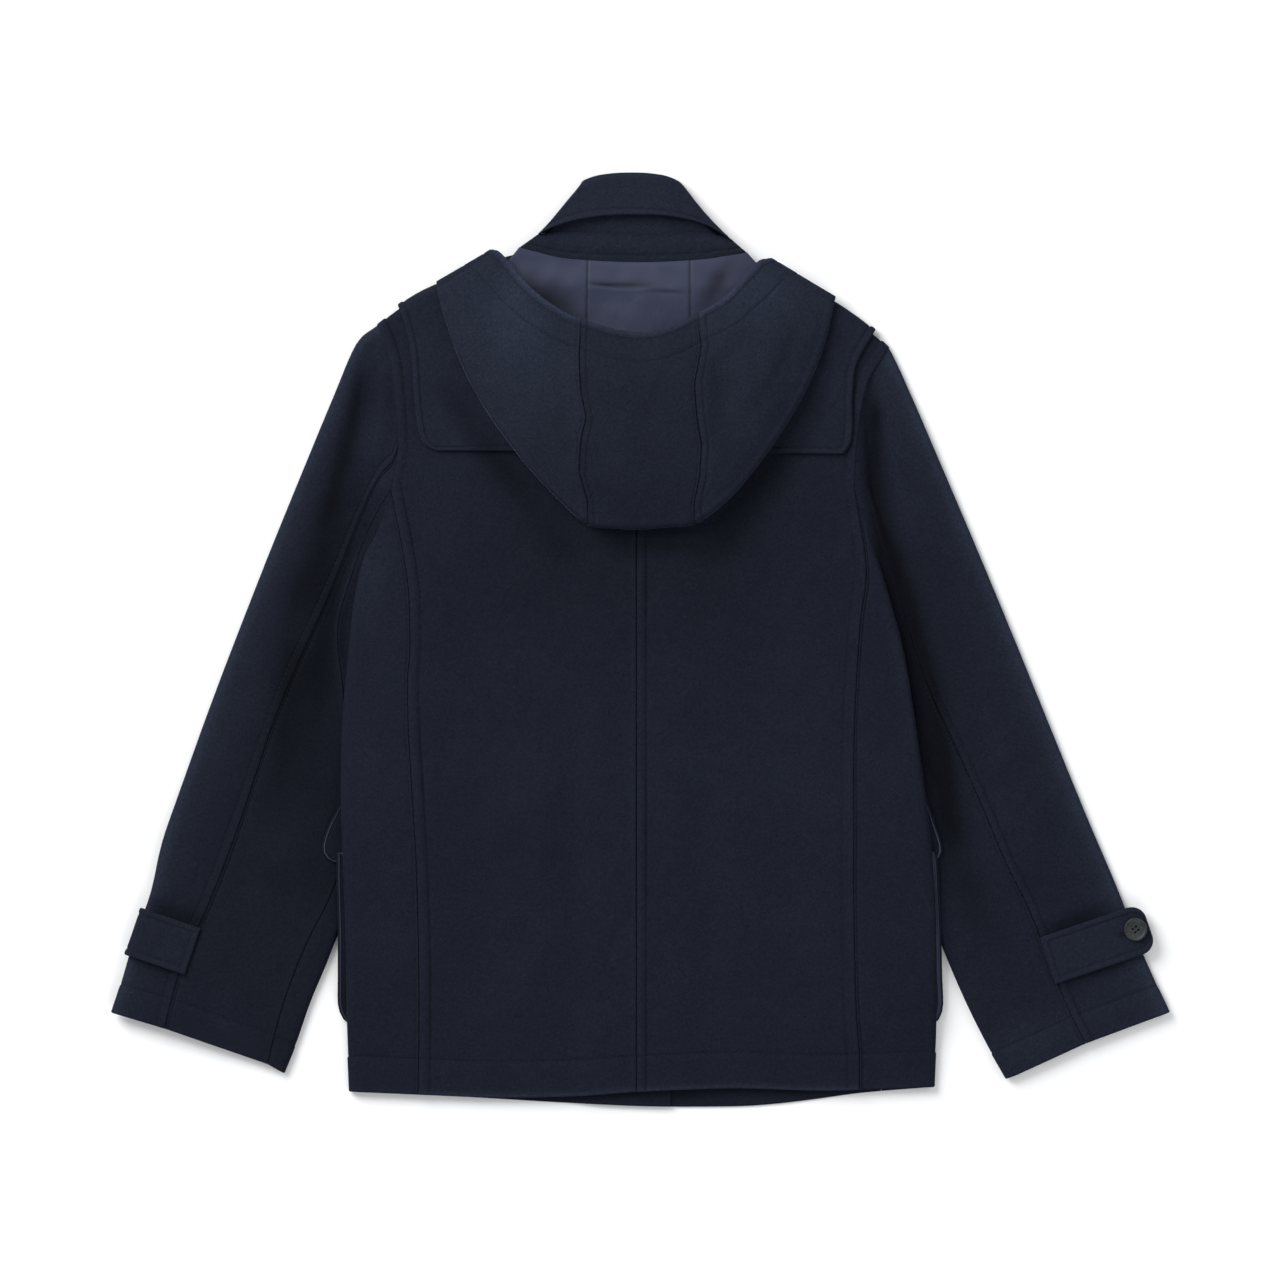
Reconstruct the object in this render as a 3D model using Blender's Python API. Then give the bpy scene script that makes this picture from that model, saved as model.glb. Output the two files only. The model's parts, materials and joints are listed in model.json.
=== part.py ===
"""A short duffle coat in milled wool, laid out flat on its front with its back up.

Sizes are in millimetres and are brought to metres at the end.  +X is the wearer's right, +Y runs
towards the collar and +Z is up.  The middle of the coat's outline is the origin and its fronts rest
on Z = 0.  Every piece of cloth is a wall of its own thickness, laid on the same ground shape, which
rises where the body lies over the sleeves, the pockets and the lapped fronts.
"""

import math

import bmesh
import bpy
import numpy as np

METRES = 0.001
# The middle of the outline drawn by the tables below, which is brought to the origin.
OUTLINE_MIDDLE = (0.5, -0.65)

# ---------------------------------------------------------------- cloth and layers
WOOL = 2.2
SATIN = 1.0
SEAM_GAP = 0.3
LAYER_GAP = 0.6
TUBE_HALF_HEIGHT = 3.9
TUBE_MID = TUBE_HALF_HEIGHT - WOOL / 2
FOLD_REACH = 5.0
FOLD_STEPS = 2
# A fold takes no more than this share of a narrow strip.
NARROW_FOLD = 0.6
BACK_TOP = 2 * TUBE_HALF_HEIGHT
YOKE_GAP = 0.7
HALF_GAP = SEAM_GAP / 2
YOKE_MID = BACK_TOP + YOKE_GAP + WOOL / 2
YOKE_SURFACE = YOKE_MID + WOOL / 2

# ---------------------------------------------------------------- ground under the body
SLEEVE_LAYER = BACK_TOP + 1.2
POCKET_LAYER = WOOL + 0.7
LAP_LAYER = WOOL + 0.5
LAP_HALF = 27.0
LAP_FLAT = 6.0
LAP_RAMP = 34.0
LAP_TOP_Y = 264.0
LAP_TOP_RAMP = 36.0
SIDE_FULL = 50.0
SIDE_RAMP = 85.0
POCKET_WIDTH = 168.0
POCKET_SPARE = 6.0
POCKET_RAMP = 42.0
# How much of a layer's height the body takes at heights down its side: y, then the share.
SLEEVE_UNDER_BODY = ((-364, 0.0), (-335, 0.25), (-294, 0.88), (-252, 1.0), (0, 1.0), (34, 0.92),
                     (64, 0.5), (92, 0.0))
POCKET_UNDER_BODY = ((-364, 0.0), (-335, 1.0), (-212, 1.0), (-194, 2.0), (-134, 2.0), (-104, 0.0))

# ---------------------------------------------------------------- tables, one row for each section
# Where the body's side edge lies, from the underarm to the hem.
SIDE_EDGE_LEFT = ((-225, 100), (-239, 75), (-248, 38), (-254, -16), (-259, -75), (-260, -135),
                  (-258, -195), (-256, -256), (-255, -333), (-253, -393))
SIDE_EDGE_RIGHT = ((197, 102), (213, 50), (229, -10), (239, -70), (248, -135), (253, -177),
                   (257, -228), (258, -279), (258, -333), (256, -390))
# The side-back seams, from the armhole to the hem.
SIDE_SEAM_LEFT = ((-217, 130), (-206, 75), (-201, 38), (-200, -10), (-202, -36), (-201, -84),
                  (-198, -133), (-194, -206), (-192, -304), (-193, -396))
SIDE_SEAM_RIGHT = ((187, 130), (197, 63), (192, 15), (188, -45), (186, -105), (186, -165),
                   (186, -225), (188, -317), (191, -360), (191, -392))
# The armholes, from the shoulder's tip to the top of the side-back seam and on to the underarm.
ARMHOLE_LEFT = ((-229, 273), (-221, 254), (-216, 234), (-213, 205), (-211, 176), (-212, 157), (-217, 130))
ARMHOLE_RIGHT = ((217, 253), (207, 238), (199, 224), (193, 200), (190, 177), (188, 157), (187, 130))
# The shoulder, from its tip to the side of the neck, and the middles of the back and front necks.
SHOULDER_LEFT = ((-229, 273), (-211, 287), (-191, 299), (-165, 311), (-130, 328), (-100, 339))
SHOULDER_RIGHT = ((217, 253), (204, 265), (184, 280), (165, 293), (130, 315), (84, 336))
NECK_BACK_Y = 344.0
NECK_FRONT_Y = 262.0
# Heights down the body at which the panels have a row of points: the hem comes after the last.
BODY_ROWS_Y = (130, 92, 64, 34, 0, -40, -76, -104, -134, -164, -194, -212, -252, -294, -335, -364)
HEM_BACK = ((-253, -394), (-183, -397), (-130, -399), (-60, -398), (-3, -394), (80, -391),
            (150, -393), (202, -392), (257, -390))
HEM_FRONT = ((-253, -394), (-183, -397), (-130, -400), (-60, -404), (10, -407), (80, -407),
             (115, -405), (150, -401), (195, -395), (257, -390))
CENTRE_BACK_X = -3.0
FRONT_SEAM_IN = 46.0

# Sleeves, from the armhole to the cuff: where the outer fold, the back seam, the inseam and the
# inner fold lie.
SLEEVE_COLUMNS = ("outer_x", "outer_y", "seam_x", "seam_y", "inseam_x", "inseam_y", "inner_x", "inner_y")
SLEEVE_LEFT = (
    (-229, 273, -212, 157, -217, 130, -225, 100),
    (-247, 257, -228, 140, -230, 108, -235, 87),
    (-267, 211, -242, 110, -240, 86, -242.3, 70),
    (-291, 153, -259, 67, -252, 51, -249.5, 39),
    (-320, 82, -275, 27, -263, 8, -246, -3),
    (-351, 3, -298, -23, -258, -44, -245, -49),
    (-376, -63, -321, -80, -253, -101, -243, -107),
    (-400, -130, -342, -143, -252, -162, -241, -166),
    (-416, -177, -359, -191, -266, -216, -251, -221),
    (-426, -221, -378, -238, -290, -265, -269, -273),
    (-440, -260, -396, -276, -307, -308, -286, -314),
    (-452, -301, -408, -317, -318, -345, -299, -351),
    (-460, -325, -413, -339, -324, -370, -310, -378),
)
SLEEVE_RIGHT = (
    (217, 253, 188, 157, 187, 130, 197, 102),
    (225, 237, 198, 130, 201, 107, 204.5, 84),
    (241, 201, 208, 99, 208.5, 81, 210.3, 64),
    (268, 138, 221, 56, 220, 44, 218.8, 33),
    (294, 77, 234, 8, 226, 2, 218, -4),
    (319, 17, 252, -44, 234, -55, 223, -60),
    (346, -49, 276, -97, 239, -113, 227, -118),
    (374, -118, 297, -144, 244, -167, 232, -171),
    (393, -164, 318, -194, 255, -215, 244, -219),
    (416, -218, 338, -234, 275, -269, 265, -273),
    (432, -260, 355, -277, 294, -313, 284, -317),
    (449, -299, 372, -320, 313, -351, 303, -355),
    (461, -325, 388, -352, 329, -379, 319, -383),
)
CUFF_LIFT = 5.6
CUFF_LIFT_SPOT = (-420.0, -260.0)
CUFF_LIFT_FULL = 62.0
CUFF_LIFT_RAMP = 90.0

# Yoke: its two side edges, and how far it hangs down the back.
YOKE_LEFT = ((-211, 291), (-204, 272), (-199, 246), (-197, 216), (-194, 187), (-189, 171), (-178, 164))
YOKE_RIGHT = ((205, 269), (197, 256), (188, 238), (185, 214), (185, 187), (183, 170), (176, 161))
YOKE_TOP = ((-211, 291), (-191, 303), (-165, 315), (-140, 327), (-118, 331), (-95, 322), (-50, 318),
            (0, 317), (50, 318), (84, 321), (104, 324), (130, 318), (165, 297), (185, 284), (205, 269))
# Between these places the yoke lies flat at the neck; beside them it turns over the shoulders.
YOKE_NECK_X = (-130.0, 120.0)
YOKE_TURN_RAMP = 22.0

# Hood, from its left end to its right: where the mouth, the outline and the neck seam lie, the
# heights of the mouth's edge and of the crown, and half the height of the fold at the outline.
HOOD_COLUMNS = ("mouth_x", "mouth_y", "edge_x", "edge_y", "neck_x", "neck_y", "mouth_z", "crown_z", "fold")
HOOD = (
    (-130, 338, -177, 311, -112, 309, 15.7, 15.9, 1.7),
    (-123, 337, -174, 294, -105, 309, 18.5, 20.5, 2.8),
    (-114, 328, -168, 274, -98, 310, 21.5, 26, 4.0),
    (-104, 315, -157, 243, -91, 313, 24, 31, 5.0),
    (-87, 298, -137, 204, -80, 312, 27, 36, 5.4),
    (-70, 286, -109, 164, -68, 311, 29, 39, 5.4),
    (-59, 280, -78, 128, -57, 311, 30, 40, 5.4),
    (-52, 278, -48, 100, -46, 310, 30, 41, 5.4),
    (-26, 270, -24, 96, -23, 309, 31, 42, 5.4),
    (0, 266, 0, 95, 0, 309, 31, 42, 5.4),
    (26, 271, 26, 97, 23, 309, 31, 42, 5.4),
    (50, 283, 50, 100, 44, 310, 30, 41, 5.4),
    (63, 290, 77, 121, 54, 311, 29, 40, 5.4),
    (75, 298, 104, 153, 64, 312, 28, 38, 5.4),
    (85, 309, 130, 191, 73, 312, 26, 35, 5.4),
    (96, 321, 150, 229, 82, 309, 23, 30, 4.6),
    (104, 329, 162, 262, 90, 308, 18.5, 24, 3.2),
    (114, 331, 170, 298, 96, 308, 15.7, 15.9, 1.7),
)
HOOD_SEAM_ROWS = (7, 11)
HOOD_FLOOR = YOKE_SURFACE + LAYER_GAP
HOOD_FOLD_REACH = 7.0
HOOD_HALF_GAP = 0.25
HOOD_CROWN_AT = 0.3
HOOD_FULLNESS = 2.2

# Collar, from its roll line down: where its side folds lie, how far up the middle of the back lies,
# and the height of its upper surface.
COLLAR_COLUMNS = ("left_x", "left_y", "right_x", "right_y", "middle_y", "height")
COLLAR_FALL = (
    (-50, 399, 35, 398, 406, 8.0),
    (-54, 393, 40, 392, 401, 11.2),
    (-64, 381, 50, 379, 392, 12.2),
    (-80, 364, 63, 364, 381, 13.4),
    (-104, 345, 82, 345, 369, 16.0),
)
COLLAR_STAND = (
    (-46, 392, 32, 391, 399, 7.6),
    (-56, 378, 42, 376, 386, 7.6),
    (-72, 362, 57, 361, 369, 7.6),
    (-90, 347, 74, 346, 348, 7.6),
)
LEAF_MID = WOOL / 2
STAND_FRONT_MID = LEAF_MID + WOOL + LAYER_GAP
COLLAR_LEAF = 40.0
COLLAR_REACH = 3.0
COLLAR_SQUARENESS = 2.6

# Hood's neck band, and the satin from it to under the hood's mouth.
BAND_TOP = ((-100, 342), (-72, 352), (-38, 352.5), (-3, 351), (29, 353), (62, 352), (86, 342))
BAND_BOTTOM = ((-103, 336), (-77, 333), (-46, 329), (-11, 327), (29, 329), (69, 333), (91, 337))
BAND_HEIGHT = 10.3
BAND_BULGE = 2.2
LINING_BOTTOM = ((-121, 321), (-115, 300), (-96, 280), (-76, 267), (-52, 258), (0, 246), (50, 263),
                 (79, 278), (92, 290), (104, 303), (111, 316))
LINING_MID = HOOD_FLOOR + WOOL + LAYER_GAP + SATIN / 2
LINING_NECK_MID = 11.6
LINING_STEP_Y = (317.0, 327.0)
LINING_BELOW_BAND = 0.5
NECK_COLUMNS = 16
BAND_ROWS = 3
LINING_ROWS = 6

# Pockets and flaps on the fronts: the outer edge of each, which shows beside the body.
POCKET_ROWS_Y = (-184, -194, -212, -252, -294, -318, -330, -335)
POCKET_LEFT_X = (-264, -264, -264, -263, -263, -263, -259, -253)
POCKET_RIGHT_X = (257, 259, 260, 262, 263, 264, 261, 255)
FLAP_ROWS_Y = (-134, -149, -164, -180, -189, -194)
FLAP_LEFT_X = (-255, -264, -272, -277, -275, -267)
FLAP_RIGHT_X = (248, 253, 258, 263, 262, 255)

# Cuff straps, their buttons, and where each strap starts, ends or turns round the sleeve.
STRAP_HALF_WIDTH = 21.5
STRAP_CORNER = 13.0
STRAP_MID = BACK_TOP + LAYER_GAP + WOOL / 2
BUTTON_RADIUS = 10.0
BUTTON_THICK = 3.4
BUTTON_HIDDEN_THICK = 2.4
BUTTON_RIM = 2.0
BUTTON_DISH = 0.7
BUTTON_ROUND = 0.7
THREAD_HOLE_RADIUS = 1.1
THREAD_HOLE_SPREAD = 2.1
STRAP_RIGHT_START = (355.0, -280.0)
STRAP_RIGHT_END = (443.0, -250.0)
BUTTON_RIGHT_AT = (431.0, -252.5)
STRAP_LEFT_START = (-389.0, -272.0)
STRAP_LEFT_FOLD = (-441.5, -254.0)
STRAP_LEFT_UNDER = 36.0
BUTTON_LEFT_AT = (-415.5, -262.5)

SHARP_ANGLE = math.radians(35)
# Colours are linear, as the cloth reflects.
FINISHES = {
    "wool": ((0.013, 0.016, 0.027), 0.95),
    "satin": ((0.045, 0.052, 0.087), 0.45),
    "button": ((0.022, 0.024, 0.027), 0.35),
}


# ---------------------------------------------------------------- curves and steps
def smoothstep(value):
    value = np.clip(value, 0.0, 1.0)
    return value * value * (3.0 - 2.0 * value)


def through(rows, steps):
    """A smooth curve through table rows (Catmull-Rom), read at even steps along its length."""
    rows = np.asarray(rows, float)
    padded = np.vstack([2 * rows[0] - rows[1], rows, 2 * rows[-1] - rows[-2]])
    fine_steps = 24
    fine = []
    for row in range(len(rows) - 1):
        before, start, end, after = padded[row:row + 4]
        for share in np.arange(fine_steps) / fine_steps:
            fine.append(0.5 * (2 * start + (end - before) * share
                               + (2 * before - 5 * start + 4 * end - after) * share ** 2
                               + (3 * start - before - 3 * end + after) * share ** 3))
    fine.append(rows[-1])
    fine = np.array(fine)
    lengths = np.linalg.norm(np.diff(fine[:, :2], axis=0), axis=1)
    travelled = np.concatenate([[0.0], np.cumsum(lengths)])
    shares = travelled / travelled[-1]
    wanted = np.linspace(0, 1, steps + 1) if np.isscalar(steps) else np.asarray(steps)
    return np.column_stack([np.interp(wanted, shares, column) for column in fine.T])


def sections(rows, steps):
    """More sections between those of a table, spaced evenly by the table's own rows."""
    rows = np.asarray(rows, float)
    padded = np.vstack([2 * rows[0] - rows[1], rows, 2 * rows[-1] - rows[-2]])
    result = []
    for place in np.linspace(0, len(rows) - 1, steps + 1):
        row = min(int(place), len(rows) - 2)
        share = place - row
        before, start, end, after = padded[row:row + 4]
        result.append(0.5 * (2 * start + (end - before) * share
                             + (2 * before - 5 * start + 4 * end - after) * share ** 2
                             + (3 * start - before - 3 * end + after) * share ** 3))
    return np.array(result)


def places(columns, row, names):
    """The plan points that a table row holds under the given names."""
    values = dict(zip(columns, row))
    return [np.array([values[name + "_x"], values[name + "_y"]], float) for name in names]


def patch(top, bottom, left, right):
    """Plan points between four edge curves; rows run from top to bottom and columns left to right."""
    across = np.linspace(0, 1, len(top))[None, :, None]
    down = np.linspace(0, 1, len(left))[:, None, None]
    corners = ((1 - across) * (1 - down) * top[0] + across * (1 - down) * top[-1]
               + (1 - across) * down * bottom[0] + across * down * bottom[-1])
    ruled = (1 - down) * top[None] + down * bottom[None]
    crossed = (1 - across) * left[:, None] + across * right[:, None]
    return ruled + crossed - corners


# ---------------------------------------------------------------- ground shape
def edge_distance(x, y):
    """How far inside the body's nearer side edge a place is."""
    left = np.asarray(SIDE_EDGE_LEFT, float)[::-1]
    right = np.asarray(SIDE_EDGE_RIGHT, float)[::-1]
    left_x = np.interp(y, left[:, 1], left[:, 0])
    right_x = np.interp(y, right[:, 1], right[:, 0])
    return np.where(x < 0, x - left_x, right_x - x)


def side_lift(x, y):
    """Height of the body's underside over the sleeves and pockets, straight between the body's rows."""
    inside = edge_distance(x, y)
    sleeve_share = np.interp(y, *zip(*SLEEVE_UNDER_BODY))
    over_sleeve = SLEEVE_LAYER * sleeve_share * (1 - smoothstep((inside - SIDE_FULL) / SIDE_RAMP))
    pocket_share = np.interp(y, *zip(*POCKET_UNDER_BODY))
    over_pocket = POCKET_LAYER * pocket_share * (1 - smoothstep((inside - POCKET_WIDTH) / POCKET_RAMP))
    return over_sleeve + over_pocket


def lap_lift(x, y):
    """Height of what lies over the lapped centre fronts."""
    down_front = 1 - smoothstep((y - LAP_TOP_Y) / LAP_TOP_RAMP)
    return LAP_LAYER * down_front * (1 - smoothstep((np.abs(x) - LAP_HALF - LAP_FLAT) / LAP_RAMP))


def body_lift(x, y):
    return side_lift(x, y) + lap_lift(x, y)


def left_front_lift(x, y):
    return side_lift(x, y) + np.where(x < 0, lap_lift(x, y), LAP_LAYER)


def level(x, y):
    """The ground shape of what lies on the table itself."""
    return np.zeros(np.shape(x))


def sleeve_lift(x, y):
    """The left cuff stands on its strap and button."""
    away = np.hypot(x - CUFF_LIFT_SPOT[0], y - CUFF_LIFT_SPOT[1])
    return CUFF_LIFT * (1 - smoothstep((away - CUFF_LIFT_FULL) / CUFF_LIFT_RAMP))


# ---------------------------------------------------------------- making solids
def finish(name, colour, roughness):
    material = bpy.data.materials.new(name)
    material.use_nodes = True
    shader = material.node_tree.nodes["Principled BSDF"]
    shader.inputs["Base Color"].default_value = (*colour, 1.0)
    shader.inputs["Roughness"].default_value = roughness
    shader.inputs["Metallic"].default_value = 0.0
    material.diffuse_color = (*colour, 1.0)
    return material


def to_metres(point):
    """A place in the tables' millimetres, brought to metres about the outline's middle."""
    x, y, z = point
    return ((x - OUTLINE_MIDDLE[0]) * METRES, (y - OUTLINE_MIDDLE[1]) * METRES, z * METRES)


def add_solid(name, points, faces, cloth):
    """One closed body from points in millimetres, with its own material."""
    mesh = bpy.data.meshes.new(name)
    mesh.from_pydata([to_metres(point) for point in points], [], faces)
    model = bmesh.new()
    model.from_mesh(mesh)
    bmesh.ops.recalc_face_normals(model, faces=model.faces)
    model.to_mesh(mesh)
    model.free()
    mesh.materials.append(finish(name + "_" + cloth, *FINISHES[cloth]))
    mesh.shade_smooth()
    mesh.set_sharp_from_angle(angle=SHARP_ANGLE)
    solid = bpy.data.objects.new(name, mesh)
    bpy.context.scene.collection.objects.link(solid)
    return solid


def add_wall(name, outer, inner, cloth="wool"):
    """A wall of cloth between two grids of points, closed round its four edges."""
    rows, columns = outer.shape[:2]
    points = np.vstack([outer.reshape(-1, 3), inner.reshape(-1, 3)])
    count = rows * columns
    faces = []
    for row in range(rows - 1):
        for column in range(columns - 1):
            corner = row * columns + column
            quad = (corner, corner + 1, corner + columns + 1, corner + columns)
            faces.append(quad)
            faces.append(tuple(count + index for index in reversed(quad)))
    rim = [column for column in range(columns)]
    rim += [row * columns + columns - 1 for row in range(1, rows)]
    rim += [(rows - 1) * columns + column for column in range(columns - 2, -1, -1)]
    rim += [row * columns for row in range(rows - 2, 0, -1)]
    for here, there in zip(rim, rim[1:] + rim[:1]):
        faces.append((here, count + here, count + there, there))
    return add_solid(name, points, faces, cloth)


def draw_in(grid, left=0.0, right=0.0, top=0.0, bottom=0.0):
    """Pull the edges of a grid of plan points inwards, along its own rows and columns."""
    grid = grid.copy()
    for amount, edge, inner in ((left, (slice(None), 0), (slice(None), 1)),
                                (right, (slice(None), -1), (slice(None), -2)),
                                (top, (0,), (1,)), (bottom, (-1,), (-2,))):
        if amount:
            step = grid[inner] - grid[edge]
            length = np.linalg.norm(step, axis=-1, keepdims=True)
            grid[edge] = grid[edge] + step / length * amount
    return grid


def flat_wall(name, plan, lift, middle, thick=WOOL, cloth="wool"):
    """A wall whose middle lies a given height above the ground shape."""
    x, y = plan[..., 0], plan[..., 1]
    height = lift(x, y) + middle
    outer = np.dstack([x, y, height + thick / 2])
    inner = np.dstack([x, y, height - thick / 2])
    return add_wall(name, outer, inner, cloth)


# ---------------------------------------------------------------- flattened tubes
def fold_path(edge_point, outward, half_height, reach):
    """Points and normals round a fold, from the upper layer to the lower one."""
    path = []
    for step in range(1, 2 * FOLD_STEPS):
        angle = math.pi * step / (2 * FOLD_STEPS)
        centre = edge_point - outward * reach
        place = centre + outward * reach * math.sin(angle)
        normal = np.array([outward[0] * math.sin(angle) / reach, outward[1] * math.sin(angle) / reach,
                           math.cos(angle) / half_height])
        path.append((np.array([place[0], place[1], half_height * math.cos(angle)]),
                     normal / np.linalg.norm(normal)))
    return path


def layer_path(line, upward, half_height):
    return [(np.array([x, y, upward * half_height]), np.array([0.0, 0.0, upward])) for x, y in line]


def wall_from_paths(name, paths, lift, centre, thick=WOOL, cloth="wool", ends=(0.0, 0.0), rows_in=(0.0, 0.0)):
    """A wall along rows of (point, normal) pairs, its edges drawn in by half a seam gap."""
    middle = np.array([[place for place, _ in path] for path in paths])
    normal = np.array([[direction for _, direction in path] for path in paths])
    middle = draw_in(middle, left=ends[0], right=ends[1], top=rows_in[0], bottom=rows_in[1])
    middle[..., 2] += centre + lift(middle[..., 0], middle[..., 1])
    return add_wall(name, middle + normal * thick / 2, middle - normal * thick / 2, cloth)


# ---------------------------------------------------------------- body
ARMHOLE_STEPS = 8
ARMHOLE_SEAM_STEP = 6
SIDE_STEPS = 3
BACK_STEPS = 7
FRONT_STEPS = 10
SHOULDER_SHARE = 0.65
NECK_TURN = 0.9
EDGE_READINGS = 120


def x_at(edge, y):
    """Where an edge from the table lies across the coat, at a height down the body."""
    line = through(edge, EDGE_READINGS)[::-1]
    return float(np.interp(y, line[:, 1], line[:, 0]))


def hem_point(hem, x):
    line = through(hem, EDGE_READINGS)
    return np.array([x, np.interp(x, line[:, 0], line[:, 1])])


def side_rows(sign):
    """For each body row: the seam to the back, the side edge and the seam to the front."""
    seam, edge = (SIDE_SEAM_LEFT, SIDE_EDGE_LEFT) if sign < 0 else (SIDE_SEAM_RIGHT, SIDE_EDGE_RIGHT)
    rows = [(np.array(seam[0], float), np.array(edge[0], float), np.array(seam[0], float))]
    for y in BODY_ROWS_Y[1:]:
        edge_x = x_at(edge, y)
        front_share = min(1.0, (BODY_ROWS_Y[0] - y) / FRONT_SEAM_IN)
        front_x = (1 - front_share) * seam[0][0] + front_share * (edge_x - sign * FRONT_SEAM_IN)
        rows.append((np.array([x_at(seam, y), y]), np.array([edge_x, y]), np.array([front_x, y])))
    back_x = seam[-1][0]
    edge_x = edge[-1][0]
    front_x = edge_x - sign * FRONT_SEAM_IN
    rows.append((hem_point(HEM_BACK, back_x), np.array([edge_x, hem_point(HEM_BACK, edge_x)[1]]),
                 hem_point(HEM_FRONT, front_x)))
    return rows


def fold_over(plan, weights, half_height, reach):
    """Bring the top row of a panel round the shoulder's fold, more where its weight is higher."""
    step = plan[1] - plan[0]
    inward = step / np.linalg.norm(step, axis=1, keepdims=True)
    rows = []
    normals = []
    for turn in range(FOLD_STEPS):
        angle = math.pi / 2 * (1 - turn / FOLD_STEPS)
        place = plan[0] + inward * (WOOL / 2 + reach * (1 - math.sin(angle)))
        angles = angle * weights
        height = half_height * np.cos(angles)
        rows.append(np.column_stack([place, height]))
        across = -inward * (np.sin(angles) / reach)[:, None]
        normal = np.column_stack([across, np.cos(angles) / half_height])
        normals.append(normal / np.linalg.norm(normal, axis=1, keepdims=True))
    start = plan[0] + inward * (WOOL / 2 + reach)
    flat = np.concatenate([start[None], plan[1:]])
    heights = np.full(flat.shape[:2], half_height)
    upright = np.zeros(flat.shape[:2] + (3,))
    upright[..., 2] = 1.0
    return (np.concatenate([np.array(rows), np.dstack([flat, heights])]),
            np.concatenate([np.array(normals), upright]))


def upper_patch(sign, steps, centre_x, neck_y):
    """Plan points of a back or front above the underarm, from its armhole to its centre."""
    armhole = through(ARMHOLE_LEFT if sign < 0 else ARMHOLE_RIGHT, ARMHOLE_STEPS)
    shoulder = SHOULDER_LEFT if sign < 0 else SHOULDER_RIGHT
    neck_side = np.array(shoulder[-1], float)
    shoulder_steps = int(steps * SHOULDER_SHARE)
    neck_steps = steps - shoulder_steps
    outer = through(shoulder, shoulder_steps)
    neck = []
    for share in np.linspace(0, 1, neck_steps + 1)[1:]:
        drop = math.sin(share * math.pi / 2)
        neck.append((neck_side[0] + (centre_x - neck_side[0]) * share,
                     neck_side[1] + (neck_y - neck_side[1]) * drop))
    top = np.vstack([outer, neck])
    weights = np.array([1.0] * shoulder_steps + [0.0] * (neck_steps + 1))
    weights[shoulder_steps - 1] = NECK_TURN
    bottom = np.column_stack([np.linspace(armhole[-1][0], centre_x, steps + 1),
                              np.full(steps + 1, armhole[-1][1])])
    centre = np.column_stack([np.full(ARMHOLE_STEPS + 1, centre_x),
                              np.linspace(top[-1][1], armhole[-1][1], ARMHOLE_STEPS + 1)])
    return patch(top, bottom, armhole, centre), weights


def lower_patch(sign, steps, centre_x, hem, seam_points):
    rows = []
    for seam_point in seam_points[1:-1]:
        rows.append(np.column_stack([np.linspace(seam_point[0], centre_x, steps + 1),
                                     np.full(steps + 1, seam_point[1])]))
    xs = np.linspace(seam_points[-1][0], centre_x, steps + 1)
    rows.append(np.array([hem_point(hem, x) for x in xs]))
    return np.array(rows)


def body_panel(name, sign, steps, centre_x, neck_y, hem, seam_column, upward, lift):
    """A back or a front: a wall from the shoulder and neck to the hem."""
    upper, weights = upper_patch(sign, steps, centre_x, neck_y)
    seam_points = [row[seam_column] for row in side_rows(sign)]
    lower = lower_patch(sign, steps, centre_x, hem, seam_points)
    middle, normal = fold_over(np.concatenate([upper, lower]), weights, TUBE_MID, FOLD_REACH)
    middle = draw_in(middle, left=HALF_GAP, right=HALF_GAP, top=HALF_GAP)
    middle[..., 2] *= upward
    normal[..., 2] *= upward
    middle[..., 2] += TUBE_HALF_HEIGHT + lift(middle[..., 0], middle[..., 1])
    return add_wall(name, middle + normal * WOOL / 2, middle - normal * WOOL / 2)


def side_panel(name, sign):
    """A side: from the seam to the back, round the side's fold, to the seam to the front."""
    paths = []
    for back_seam, edge, front_seam in side_rows(sign):
        paths.append(folded_row(back_seam, edge, front_seam, SIDE_STEPS))
    return wall_from_paths(name, paths, body_lift, TUBE_HALF_HEIGHT,
                           ends=(HALF_GAP, HALF_GAP), rows_in=(HALF_GAP, 0.0))


def straight(start, end, steps):
    return np.array([start + (end - start) * share for share in np.linspace(0, 1, steps + 1)])


def run_to_fold(line, reach, evenly=False):
    """A plan line that ends where its fold begins, and the fold's direction.

    Its last point alone is moved, or all are, evenly, where the line is short.
    """
    outward = line[-1] - line[-2]
    outward = outward / np.linalg.norm(outward)
    shares = np.linspace(0, 1, len(line))[:, None]
    if not evenly:
        shares = np.floor(shares)
    return line - outward * (reach + WOOL / 2) * shares, outward


def folded_row(upper_seam, edge, lower_seam, steps):
    """Upper layer out to an edge, round its fold, and back along the lower layer."""
    width = min(np.linalg.norm(edge - upper_seam), np.linalg.norm(edge - lower_seam))
    reach = min(FOLD_REACH, NARROW_FOLD * (width - WOOL / 2))
    upper, outward = run_to_fold(straight(upper_seam, edge, steps), reach, evenly=True)
    lower, _ = run_to_fold(straight(lower_seam, edge, steps), reach, evenly=True)
    path = layer_path(upper, 1.0, TUBE_MID)
    path += fold_path(edge - outward * WOOL / 2, outward, TUBE_MID, reach)
    path += layer_path(lower[::-1], -1.0, TUBE_MID)
    return path


# ---------------------------------------------------------------- sleeves
SLEEVE_ROWS = 14
# The armhole's curve fades out of the sleeve's seams over this share of its length.
CAP_FADE = 0.3


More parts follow.
